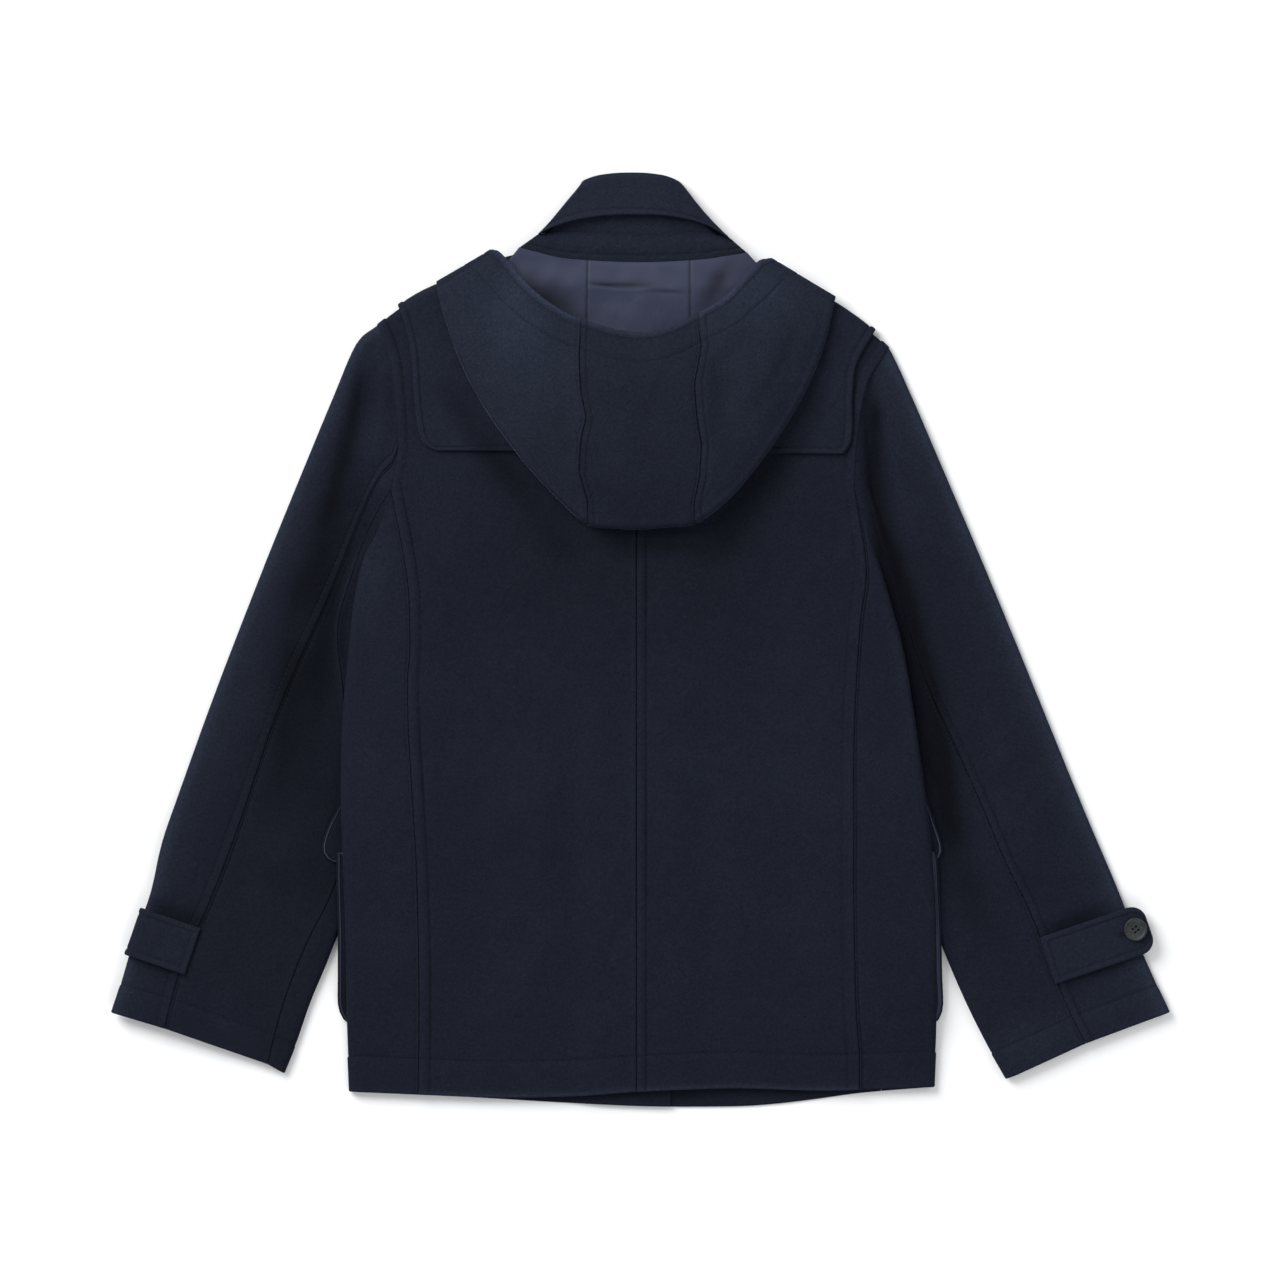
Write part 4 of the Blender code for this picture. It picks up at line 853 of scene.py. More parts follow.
FRONT_FOLDS = (
    (-150, 140, -170, -40, 8, 20, 0.85), (-95, 60, -110, -180, -10, 26, 0.7),
    (-190, 90, -125, 20, 8, 11, 0.65), (-170, -230, -70, -255, 8, 20, 0.6),
    (-100, -330, -105, -396, 3, 16, 0.7), (110, 150, 140, -20, -8, 22, 0.8),
    (80, 40, 92, -190, 8, 26, 0.6), (186, 86, 120, 14, -8, 11, 0.7),
    (70, -262, 180, -236, -8, 20, 0.65), (120, -335, 112, -396, -3, 18, 0.6),
)
# Strokes of painted shade beside the hood and over the upper back, and of painted light along the side
# seams.
BODY_PAINTED_LIGHT_AND_SHADE = (
    (-180, 235, -52, 64, -3, 15, -0.4), (165, 225, 52, 62, 7, 15, -0.43),
    (-62, 82, 62, 82, 0, 10, -0.26), (-230, 70, 230, 70, 0, 85, -0.18), (-150, 275, -130, 200, -6, 9, -0.2),
    (203, 115, 244, -110, 3, 8, 0.28), (-212, 135, -240, -10, -3, 14, 0.18),
)
print("folds in the body:", len(BODY_FOLDS) + len(FRONT_FOLDS))

# %% [markdown]
# ### Cutting the backs and fronts
# The stitched rows follow the coat: beside the armhole, along the side-back and centre back seams,
# and 31 mm above the hem.

# %% Cut the backs and fronts
HEM_LINE = 31.0
SEAM_LINE = 8.5
SIDE_BACK_LINE = 10.0
FRONT_LINE = 7.0
HIDDEN_STEP = 7.0
BACK_STEPS, FRONT_STEPS = 60, 40
# A painted highlight along the hem's lower edge.
HEM_PAINTED_HIGHLIGHT = ("bottom", 0.8, 2.6)


def body_panel(node, sign, steps, centre_x, neck_y, hem, seam_column, upward, lift, edges, **how):
    plan, weights = body_plan(sign, steps, centre_x, neck_y, hem, seam_column)
    middle, normal = fold_over(plan, weights, TUBE_MID, FOLD_REACH)
    middle = draw_in(middle, SEAM_HALF_GAP, ("left", "right", "top"))
    middle[..., 2] *= upward
    normal[..., 2] *= upward
    middle[..., 2] += TUBE_HALF_HEIGHT
    cut_piece(node, middle, normal, lift, {**edges, "bottom": (HEM_LINE,)}, **how)


for side, sign, centre_lines in (("left", -1, ()), ("right", 1, (SEAM_LINE,))):
    body_panel("back_" + side, sign, BACK_STEPS, CENTRE_BACK_X, NECK_BACK_Y, HEM_BACK, 0, 1.0, body_lift,
               {"left": (SIDE_BACK_LINE,), "right": centre_lines}, table=BODY_FOLDS,
               brushed=brushed_by(BODY_PAINTED_LIGHT_AND_SHADE), edge_glow=HEM_PAINTED_HIGHLIGHT, rests_on=("front_" + side,))
for side, sign, lift, under in (("left", -1, left_front_lift, ("front_right",)),
                                ("right", 1, side_lift, ())):
    body_panel("front_" + side, sign, FRONT_STEPS, -sign * LAP_HALF, NECK_FRONT_Y, HEM_FRONT, 2, -1.0, lift,
               {"right": (FRONT_LINE,)}, table=FRONT_FOLDS, down_share=1.0, step=HIDDEN_STEP, rests_on=under)

# %% [markdown]
# ## Side panels and sleeves
# A side panel wraps from the side-back seam round the side to the front.  A sleeve is a flattened
# tube of two pieces: the upper sleeve, which goes over the outer edge and right round underneath,
# and the narrow under sleeve.  Each is traced as a path round the tube, row by row, with the
# direction the cloth faces, so its wall keeps one thickness round the folds.

# %% Paths round a flattened tube
NARROW_FOLD = 0.6
ROUND_STEPS = 10


def run_to_fold(line, reach, evenly=False):
    """A plan line that ends where its fold begins, and the fold's direction."""
    outward = line[-1] - line[-2]
    outward = outward / np.linalg.norm(outward)
    shares = np.linspace(0, 1, len(line))[:, None]
    if not evenly:
        shares = np.clip(shares * 4 - 3, 0, 1)
    return line - outward * (reach + WOOL / 2) * shares, outward


def layer_path(line, upward, half_height):
    return [(np.array([x, y, upward * half_height]), np.array([0.0, 0.0, upward])) for x, y in line]


def fold_path(edge, outward, half_height, reach):
    """Points and directions round a fold, from the upper layer to the lower one."""
    path = []
    for step in range(1, ROUND_STEPS):
        angle = math.pi * step / ROUND_STEPS
        place = edge - outward * reach * (1 - math.sin(angle))
        normal = np.array([*(outward * math.sin(angle) / reach), math.cos(angle) / half_height])
        path.append((np.array([*place, half_height * math.cos(angle)]), normal / np.linalg.norm(normal)))
    return path


def folded_row(upper_seam, edge, lower_seam, steps=6):
    width = min(np.linalg.norm(edge - upper_seam), np.linalg.norm(edge - lower_seam))
    reach = min(FOLD_REACH, NARROW_FOLD * (width - WOOL / 2))
    upper, outward = run_to_fold(straight(upper_seam, edge, steps), reach, evenly=True)
    lower, _ = run_to_fold(straight(lower_seam, edge, steps), reach, evenly=True)
    return (layer_path(upper, 1.0, TUBE_MID) + fold_path(edge - outward * WOOL / 2, outward, TUBE_MID, reach)
            + layer_path(lower[::-1], -1.0, TUBE_MID))


def from_paths(paths, rise, sides):
    """The middle and the directions of a piece traced as paths, its seams drawn in."""
    middle = np.array([[place for place, _ in path] for path in paths])
    normal = np.array([[direction for _, direction in path] for path in paths])
    middle = draw_in(middle, SEAM_HALF_GAP, sides)
    middle[..., 2] += rise
    return middle, normal


SIDE_LINE = 2.2
for side, sign in (("left", -1), ("right", 1)):
    paths = [folded_row(*row) for row in side_rows(sign)]
    cut_piece("side_" + side, *from_paths(paths, TUBE_HALF_HEIGHT, ("left", "right", "top")), body_lift,
              {"left": (SIDE_LINE,), "bottom": (HEM_LINE,)}, table=BODY_FOLDS, down_share=0.0,
              brushed=brushed_by(BODY_PAINTED_LIGHT_AND_SHADE), rests_on=("sleeve_" + side + "_under",))

# %% [markdown]
# ### The sleeves' seams
# The left sleeve lies turned so that its inseam shows; the right one hides its inseam underneath.
# Both have a row of stitching on each side of the back seam, and a stitched hem at the cuff.  A
# table of places down the sleeve is shorter than a drawing of each piece, and keeps their seams
# together.

# %% Edges, seams and height of the sleeves
SLEEVE_COLUMNS = ("outer_x", "outer_y", "seam_x", "seam_y", "inseam_x", "inseam_y", "inner_x", "inner_y")
SLEEVE_LEFT = (
    (-229, 273, -212, 157, -217, 130, -222, 100), (-247, 257, -228, 140, -230, 108, -231, 86),
    (-267, 211, -242, 110, -240, 86, -238, 69), (-291, 153, -259, 67, -252, 51, -244.5, 37),
    (-320, 82, -275, 27, -263, 8, -243, -4), (-351, 3, -298, -23, -258, -44, -242, -50),
    (-376, -63, -321, -80, -253, -101, -243, -107), (-400, -130, -342, -143, -252, -162, -241, -166),
    (-416, -177, -359, -191, -266, -216, -251, -221), (-426, -221, -378, -238, -290, -265, -269, -273),
    (-440, -260, -396, -276, -307, -308, -286, -314), (-452, -301, -408, -317, -318, -345, -299, -351),
    (-460, -325, -413, -339, -324, -370, -310, -378),
)
SLEEVE_RIGHT = (
    (217, 253, 188, 157, 187, 130, 194, 102), (225, 237, 198, 130, 201, 107, 200.5, 83),
    (241, 201, 208, 99, 208.5, 81, 205.5, 63), (268, 138, 221, 56, 220, 44, 213.5, 31),
    (294, 77, 234, 8, 226, 2, 214, -5), (319, 17, 252, -44, 234, -55, 220, -61),
    (346, -49, 276, -97, 239, -113, 227, -118), (374, -118, 297, -144, 244, -167, 232, -171),
    (393, -164, 318, -194, 255, -215, 244, -219), (416, -218, 338, -234, 275, -269, 265, -273),
    (432, -260, 355, -277, 294, -313, 284, -317), (449, -299, 372, -320, 313, -351, 303, -355),
    (461, -325, 388, -352, 329, -379, 319, -383),
)
SLEEVES = {-1: SLEEVE_LEFT, 1: SLEEVE_RIGHT}
ARMHOLES = {-1: ARMHOLE_LEFT, 1: ARMHOLE_RIGHT}
SLEEVE_CROWN = 7.5
ARMHOLE_END_Y = 100.0
SLANT = 0.92


def from_outer_edge(x, y, sign):
    """How far inside the outer edge of its sleeve a place lies, square to its slanting edge."""
    table = np.array(SLEEVES[sign], float)[::-1]
    return SLANT * sign * (np.interp(y, table[:, 1], table[:, 0]) - x)


def sleeve_crown(sign):
    """How high the upper layer of a sleeve stands off the lower one, falling away at its edges."""
    armhole = np.array(ARMHOLES[sign], float)[::-1]
    outer_cuff, inseam_cuff = (np.array(SLEEVES[sign][-1][at:at + 2]) for at in (0, 6))
    cuff = sorted((sign * x, y) for x, y in (outer_cuff, inseam_cuff))

    def height(x, y):
        from_armhole = sign * (x - np.interp(y, armhole[:, 1], armhole[:, 0]))
        from_cuff = y - np.interp(sign * x, *zip(*cuff))
        rise = SLEEVE_CROWN * smoothstep((-edge_distance(x, y) - 1.0) / 42.0)
        rise = rise * smoothstep(from_outer_edge(x, y, sign) / 46.0)
        rise = rise * np.where(y > ARMHOLE_END_Y, smoothstep(from_armhole / 34.0), 1.0)
        return rise * smoothstep((from_cuff - 100.0) / 110.0)

    return height


print("a sleeve stands up to", SLEEVE_CROWN, "mm higher along its middle")

# %% [markdown]
# ### Folds of the sleeves
# A sleeve's cloth bunches where it turns at the armhole and the elbow, so the sleeves have the
# deepest folds of the coat.  The hollow beside the body has a fold and strokes of painted shade.
# Painted shade also lies beside the cuff straps, and painted light along the outer folds and over the cuffs.

# %% Folds, painted light and painted shade of the sleeves
SLEEVE_FOLDS = (
    (-241, 258, -262, 130, 8, 8, -3.4), (-226, 256, -229, 158, 5, 6, 1.8),
    (-272, 150, -340, -2, 12, 20, 1.6), (-262, 96, -308, -20, -8, 13, -1.5),
    (-296, 34, -348, -140, 10, 20, 1.1), (-362, -140, -388, -228, 4, 12, -0.5),
    (-340, -210, -382, -314, -6, 15, 0.8), (-362, -53, -318, -44, 4, 8, -0.8),
    (-364, -84, -313, -70, -5, 8, 0.8), (-240, 147, -222, 159, 2, 4, 0.9),
    (-236, 138, -218, 150, -2, 4, -0.8), (-320, -240, -300, -330, 5, 10, -0.6),
    (-424, -268, -438, -318, 2, 12, 0.7), (-392, -300, -404, -334, 2, 9, -0.5),
    (198, 252, 211, 96, -1, 7, -4.0), (203, 178, 262, -62, -7, 10, -4.2),
    (237, 208, 248, 69, 10, 17, 1.7), (270, 69, 300, -53, -8, 15, -1.0),
    (300, -2, 348, -158, 8, 19, 1.1), (256, -2, 280, -105, 6, 12, -0.9),
    (366, -192, 396, -280, 6, 14, 0.8), (330, -150, 300, -170, 5, 9, 0.7),
    (340, -120, 300, -136, -4, 8, -0.6), (330, -300, 345, -360, -4, 12, 0.7),
    (402, -292, 418, -338, 3, 10, -0.6), (290, -230, 312, -310, 5, 10, 0.6),
    (-256, 100, -292, -165, 4, 17, -2.6), (-252, 190, -272, 60, -6, 9, -1.6),
    (262, -20, 268, -190, 4, 12, -1.8),
)
# Strokes of painted shade in the hollows beside the body and the cuff straps, and of painted light over the
# cuffs.
SLEEVE_PAINTED_LIGHT_AND_SHADE = (
    (-230, 262, -292, 20, 0, 14, -0.5), (-272, 130, -300, -60, 0, 26, -0.36),
    (-290, 0, -318, -180, 0, 30, -0.1), (-250, -60, -262, -330, 0, 18, -0.22),
    (-335, -215, -262, -200, 0, 20, -0.15), (-222, 275, -235, 115, 0, 28, 0.3),
    (-296, 70, -318, -175, 0, 16, -0.3), (-266, 90, -282, -190, 0, 16, -0.16),
    (-244, 230, -276, 90, 0, 7, -0.2), (194, 215, 226, 15, -3, 13, -0.8),
    (218, 80, 257, -125, 3, 14, -0.8), (250, -60, 280, -228, 2, 15, -0.7),
    (232, 100, 285, -150, 0, 22, -0.27), (275, -150, 300, -290, 0, 16, -0.2),
    (203, 234, 208, 145, 0, 7, -0.4), (285, -374, 445, -308, 0, 24, 0.25),
    (-450, -298, -325, -352, 0, 22, 0.2), (-212, 150, -228, 128, 0, 9, 0.25),
    (335, -260, 432, -222, -2, 8, -0.42), (360, -306, 448, -271, 0, 5, -0.4),
    (-452, -218, -372, -250, -2, 9, -0.5), (-462, -268, -398, -296, 0, 5, -0.35),
)
# Painted light along each sleeve's outer fold: how strong, and how far in it reaches.
SLEEVE_PAINTED_RIM_LIGHT = {-1: (1.1, 7.0), 1: (0.85, 8.0)}


def sleeve_nap(sign):
    """Painted light along the outer fold of a sleeve, and strokes of painted light and shade over it."""
    rim, reach = SLEEVE_PAINTED_RIM_LIGHT[sign]

    def share(x, y):
        inside = from_outer_edge(x, y, sign)
        painted_highlight = 1 + rim * near(inside, reach) + 0.32 * near(inside, 24.0)
        return painted_highlight * np.clip(1 + folds(x, y, SLEEVE_PAINTED_LIGHT_AND_SHADE), 0.3, 1.3)

    return share


print("folds in the sleeves:", len(SLEEVE_FOLDS))

# %% [markdown]
# ### Cutting the sleeves
# A row of the sleeve is one path: from the back seam over the outer fold, under to the inner fold
# and up again to the seam.  The two pieces are the same grid, parted at the inseam.

# %% Cut the sleeves
SLEEVE_ROWS = 60
CAP_STEPS = 24
INSIDE_STEPS = 6
SLEEVE_STEP = 4.2
CAP_LET_OUT = 1.3
SLEEVE_LINE = 7.5
UNDER_LINE = 2.4
CUFF_LINE = 26.0
ARMHOLE_SHARE = 0.3


def right_seam_shown(x, y):
    """The stitched seam of the right sleeve shows only from the elbow down."""
    return 1 - smoothstep((y + 60.0) / 40.0) * smoothstep((300.0 - x) / 20.0)


def sleeve_paths(sign):
    """Rows round a sleeve from its back seam, out over the outer fold and back to the seam."""
    armhole = through(ARMHOLES[sign], ARMHOLE_STEPS)
    under_steps = ARMHOLE_STEPS - CAP_STEPS
    rows = sections(SLEEVES[sign], SLEEVE_ROWS)
    seam_at = SLEEVE_COLUMNS.index("seam_x")
    rows[0, seam_at:seam_at + 2] = armhole[CAP_STEPS]
    cap_bow = armhole[:CAP_STEPS + 1] - straight(armhole[0], armhole[CAP_STEPS], CAP_STEPS)
    under_bow = armhole[CAP_STEPS:] - straight(armhole[CAP_STEPS], armhole[-1], under_steps)
    paths = []
    for index, row in enumerate(rows):
        fade = faded(index / SLEEVE_ROWS, 0.0, ARMHOLE_SHARE)
        outer, seam, inseam, inner = places(SLEEVE_COLUMNS, row, ("outer", "seam", "inseam", "inner"))
        cap = straight(outer, seam, CAP_STEPS) + cap_bow * fade
        under = straight(seam, inseam, under_steps) + under_bow * fade
        to_outer, outward = run_to_fold(cap[::-1], FOLD_REACH)
        to_inner, inward = run_to_fold(straight(inseam, inner, INSIDE_STEPS), FOLD_REACH, evenly=True)
        lower = np.vstack([to_outer[::-1], under[1:], to_inner[1:]])
        paths.append(layer_path(to_outer, 1.0, TUBE_MID)
                     + fold_path(outer - outward * WOOL / 2, outward, TUBE_MID, FOLD_REACH)
                     + layer_path(lower, -1.0, TUBE_MID)
                     + fold_path(inner - inward * WOOL / 2, inward, TUBE_MID, FOLD_REACH)[::-1]
                     + layer_path(np.vstack([under[:-1], to_inner])[::-1], 1.0, TUBE_MID))
    return paths


lower_start = CAP_STEPS + ROUND_STEPS
under_end = lower_start + ARMHOLE_STEPS
inside_end = under_end + 2 * INSIDE_STEPS + ROUND_STEPS
for side, sign, parting, sleeve_lift, line_share in (("left", -1, inside_end, left_sleeve_lift, None),
                                                     ("right", 1, under_end, level, right_seam_shown)):
    paths = sleeve_paths(sign)
    for name, first, last, lines in (("upper", 0, parting, {"left": (SLEEVE_LINE,)}),
                                     ("under", parting, len(paths[0]) - 1, {"right": (UNDER_LINE,)})):
        strips = [path[first:last + 1] for path in paths]
        middle, normal = from_paths(strips, TUBE_HALF_HEIGHT, ("left", "right"))
        cut_piece(f"sleeve_{side}_{name}", draw_in(middle, -CAP_LET_OUT, ("top",)), normal, sleeve_lift,
                  {**lines, "bottom": (CUFF_LINE,)}, table=SLEEVE_FOLDS, step=SLEEVE_STEP, welt=0.8,
                  limit=(-3.3, 5.0), crown=sleeve_crown(sign), line_share=line_share,
                  brushed=sleeve_nap(sign))

# %% [markdown]
# ## The yoke
# A second layer over the shoulders, cut with rounded lower corners.  It is laid on the back and
# topstitched close to its edge, so its edge stands up as a low welt.

# %% Cut the yoke
YOKE_LEFT = ((-211, 291), (-204, 272), (-199, 246), (-197, 216), (-194, 187), (-189, 171), (-178, 164))
YOKE_RIGHT = ((205, 269), (197, 256), (188, 238), (185, 214), (185, 187), (183, 170), (176, 161))
YOKE_TOP = ((-211, 291), (-191, 303), (-165, 315), (-140, 327), (-118, 331), (-95, 322), (-50, 318),
            (0, 317), (50, 318), (84, 321), (104, 324), (130, 318), (165, 297), (185, 284), (205, 269))
YOKE_LINE = 6.0
YOKE_COLUMNS, YOKE_ROWS = 90, 40
YOKE_NECK = (-130.0, 120.0)
YOKE_NECK_EASE = 22.0
yoke_top = through(YOKE_TOP, YOKE_COLUMNS)
yoke_bottom = straight(np.array(YOKE_LEFT[-1], float), np.array(YOKE_RIGHT[-1], float), YOKE_COLUMNS)
yoke_plan = patch(yoke_top, yoke_bottom, through(YOKE_LEFT, YOKE_ROWS), through(YOKE_RIGHT, YOKE_ROWS))
inside_neck = np.minimum(yoke_top[:, 0] - YOKE_NECK[0], YOKE_NECK[1] - yoke_top[:, 0])
yoke_half = YOKE_MID - TUBE_HALF_HEIGHT
middle, normal = fold_over(yoke_plan, faded(inside_neck, -YOKE_NECK_EASE, YOKE_NECK_EASE), yoke_half,
                           FOLD_REACH + yoke_half - TUBE_MID)
middle[..., 2] += TUBE_HALF_HEIGHT
cut_piece("yoke", middle, normal, body_lift, {side: (YOKE_LINE,) for side in ("left", "right", "bottom")},
          welt=0.8, limit=(-0.2, 0.5), brushed=brushed_by(BODY_PAINTED_LIGHT_AND_SHADE), rests_on=("back_left", "back_right"))

# %% [markdown]
# ## The hood
# The hood has three panels and lies on the back like a shallow bag: its mouth faces the collar,
# its upper wall rises to a crown and rolls round the outline to a lower wall.  Sections across it,
# each from mouth to outline, give the height of the mouth's edge and of the crown.  The inside is
# lined, so the inner skin takes the satin.

# %% Sections of the hood
HOOD_COLUMNS = ("mouth_x", "mouth_y", "edge_x", "edge_y", "neck_x", "neck_y", "mouth_z", "crown_z", "fold")
HOOD = (
    (-130, 338, -177, 311, -112, 309, 15.7, 15.9, 1.7), (-123, 337, -174, 294, -105, 309, 18.5, 20.5, 2.8),
    (-114, 328, -168, 274, -98, 310, 21.5, 26, 4.0), (-104, 315, -157, 243, -91, 313, 24, 31, 5.0),
    (-87, 298, -137, 204, -80, 312, 27, 36, 5.4), (-70, 286, -109, 164, -68, 311, 29, 39, 5.4),
    (-59, 280, -78, 128, -57, 311, 30, 40, 5.4), (-52, 278, -48, 100, -46, 310, 30, 41, 5.4),
    (-26, 270, -24, 96, -23, 309, 31, 42, 5.4), (0, 266, 0, 95, 0, 309, 31, 42, 5.4),
    (26, 271, 26, 97, 23, 309, 31, 42, 5.4), (50, 283, 50, 100, 44, 310, 30, 41, 5.4),
    (63, 290, 77, 121, 54, 311, 29, 40, 5.4), (75, 298, 104, 153, 64, 312, 28, 38, 5.4),
    (85, 309, 130, 191, 73, 312, 26, 35, 5.4), (96, 321, 150, 229, 82, 309, 23, 30, 4.6),
    (104, 329, 162, 262, 90, 308, 18.5, 24, 3.2), (114, 331, 170, 298, 96, 308, 15.7, 15.9, 1.7),
)
HOOD_UPPER_STEPS = 48
HOOD_CROWN_AT = 0.3
HOOD_FULLNESS = 2.2
HOOD_REACH = 7.0
HOOD_UNDER_STEPS = 20
HOOD_LAP_HALF, HOOD_LAP_EASE = 75.0, 60.0


def hood_lift(x):
    """The hood lies over the lapped fronts in one broad rise."""
    return LAP_LAYER * faded(np.abs(x), HOOD_LAP_HALF, HOOD_LAP_EASE)


def hood_path(row):
    """The middle of the hood's wall: mouth, crown, round the outline, and in under to the neck."""
    mouth, edge, neck = places(HOOD_COLUMNS, row, ("mouth", "edge", "neck"))
    mouth_z, crown_z, fold = row[HOOD_COLUMNS.index("mouth_z"):]
    floor = HOOD_FLOOR + WOOL / 2
    fold_top = floor + 2 * fold
    run, outward = run_to_fold(straight(mouth, edge, HOOD_UPPER_STEPS), HOOD_REACH)
    share = np.linspace(0, 1, HOOD_UPPER_STEPS + 1)
    rising = mouth_z + (crown_z - mouth_z) * np.sin(np.clip(share / HOOD_CROWN_AT, 0, 1) * math.pi / 2)
    fall = np.clip((share - HOOD_CROWN_AT) / (1 - HOOD_CROWN_AT), 0, 1)
    falling = fold_top + (crown_z - fold_top) * (1 - fall ** HOOD_FULLNESS)
    points = [np.column_stack([run, np.where(share <= HOOD_CROWN_AT, rising, falling)])]
    turned = [(*place[:2], floor + fold + place[2])
              for place, _ in fold_path(edge - outward * WOOL / 2, outward, fold, HOOD_REACH)]
    under = straight(run[-1], neck, HOOD_UNDER_STEPS)
    points += [np.array(turned), np.column_stack([under, np.full(len(under), floor)])]
    points = np.vstack(points)
    points[:, 2] += hood_lift(points[:, 0])
    return points


def grid_normals(grid):
    normal = np.cross(np.gradient(grid, axis=1), np.gradient(grid, axis=0))
    return normal / np.linalg.norm(normal, axis=2, keepdims=True)


print("the hood's crown stands at", max(row[7] for row in HOOD), "mm")

# %% [markdown]
# ### Cutting the hood
# The two long seams waver a little, as eased seams in thick cloth do, and soft folds run down from
# the mouth.  Painted light brightens the colour beside the mouth, where its bound edge catches the
# light, and strokes of painted light and shade lie over the panels.

# %% Cut the hood
HOOD_SEAM_ROWS = (7, 11)
HOOD_SUB_ROWS = 8
HOOD_STEP = 3.2
HOOD_SEAM_HALF_GAP = 0.25
WAVER_WIDTH = 22.0
MOUTH_LINES = (7.0, 27.0)
HOOD_LINES = {"left": {"top": (5.0,), "bottom": (2.2,)}, "centre": {"top": (6.0,), "bottom": (2.2,)},
              "right": {"top": (7.0,), "bottom": (5.0,)}}
# For the seam at each x: how far it wavers sideways at each y.
SEAM_WAVER = {-50.0: ((120, 3.0), (145, -3.6), (172, -1.6), (192, 3.6), (215, -0.6), (243, -1.4),
                      (275, 0.6), (460, 0.0)),
              50.0: ((118, -3.0), (141, 1.8), (168, 3.4), (192, -0.6), (220, -2.8), (252, 3.2),
                     (275, 1.0), (460, 0.0))}
HOOD_FOLDS = (
    (-122, 295, -83, 190, -8, 13, 1.0), (-70, 295, -57, 243, 3, 7, -0.7),
    (-148, 268, -96, 182, -8, 11, -0.8), (139, 273, 91, 186, 7, 10, -1.7),
    (91, 260, 83, 182, 4, 9, 1.1), (52, 232, 77, 241, 2, 4, -0.8),
    (-20, 245, -14, 130, 6, 18, 0.7), (22, 235, 16, 140, -5, 14, -0.6),
    (-49, 232, -52, 196, 2, 5, -0.8), (49, 222, 52, 190, -2, 5, 0.6),
)
# Strokes of painted light and painted shade over the hood's panels.
HOOD_PAINTED_LIGHT_AND_SHADE = (
    (-128, 318, -84, 215, 0, 26, 0.3), (-100, 195, -48, 105, 0, 30, -0.18),
    (-74, 245, -62, 150, 0, 8, -0.1), (60, 265, 68, 150, 0, 9, -0.18), (112, 295, 86, 140, 0, 15, 0.16),
    (134, 270, 112, 190, 0, 10, -0.06), (-30, 150, 30, 150, 0, 50, -0.04),
    (72, 282, 160, 320, 0, 28, 0.36), (-122, 324, -78, 272, 0, 12, 0.25),
)
hood_middle = np.array([hood_path(row) for row in sections(HOOD, (len(HOOD) - 1) * HOOD_SUB_ROWS)])
x, y = hood_middle[..., 0], hood_middle[..., 1]
for seam, waver in SEAM_WAVER.items():
    shift = np.interp(y, *zip(*waver)) * near(x - seam, WAVER_WIDTH)
    hood_middle[..., 0] += shift * smoothstep((hood_middle[..., 2] - 16.0) / 8.0)
hood_normal = grid_normals(hood_middle)
parts = [0, *(row * HOOD_SUB_ROWS for row in HOOD_SEAM_ROWS), len(hood_middle) - 1]
# Each panel has a painted highlight along the mouth and painted shade along its edges.
for (name, lines), first, last in zip(HOOD_LINES.items(), parts, parts[1:]):
    sides = ("top",) * (first > 0) + ("bottom",) * (last < parts[-1])
    panel = draw_in(hood_middle[first:last + 1], HOOD_SEAM_HALF_GAP, sides)
    cut_piece("hood_" + name, panel, hood_normal[first:last + 1], level, {**lines, "left": MOUTH_LINES},
              table=HOOD_FOLDS, step=HOOD_STEP, inside="satin", down_share=0.0, limit=(-2.0, 1.8), welt=0.3,
              brushed=brushed_by(HOOD_PAINTED_LIGHT_AND_SHADE), edge_glow=("left", 1.0, 3.8), edge_shade=0.4,
              rests_on=("yoke",), held="folded")

# %% [markdown]
# ## Neck band
# A wool band joins the hood to the neck.  It is a long shallow crescent between two curves, and it
# bows up a little in the middle, where the collar's seam lies under it.

# %% Cut the neck band
BAND_TOP = ((-88, 352.5), (-72, 353.5), (-38, 353), (-3, 351.5), (20, 350.5), (36, 353.5), (62, 352),
            (80, 347))
BAND_BOTTOM = ((-105, 340.5), (-90, 336.5), (-62, 330.5), (-3, 327.5), (51, 329.7), (75, 333), (93, 336))
BAND_STEPS = 24
BAND_MID = 10.3
BAND_BOW = 2.2
BAND_LINE = 6.5
BAND_TOP_LINE = 1.6


def between(top, bottom, steps):
    return patch(top, bottom, straight(top[0], bottom[0], steps), straight(top[-1], bottom[-1], steps))


band_plan = between(through(BAND_TOP, 60), through(BAND_BOTTOM, 60), BAND_STEPS)
band_bow = np.sin(np.linspace(0, math.pi, BAND_STEPS + 1))[:, None]
band_middle = np.dstack([band_plan, BAND_MID + BAND_BOW * band_bow + 0 * band_plan[..., 0]])
cut_piece("hood_band", band_middle, -grid_normals(band_middle), level,
          {"bottom": (BAND_LINE,), "top": (BAND_TOP_LINE,)}, step=2.6, welt=0.3, limit=(-0.1, 0.35),
          down_share=0.0, rests_on=("back_left", "back_right"))

# %% [markdown]
# ### The satin lining
# Below the band the satin hangs in a shallow sling under the mouth, with two seams and a couple of
# sharp little creases where it has been folded.  Satin is thin, so its points stand closer together
# than the wool's.  Its hollows are shaped, and painted shade darkens them, its seams and its creases.

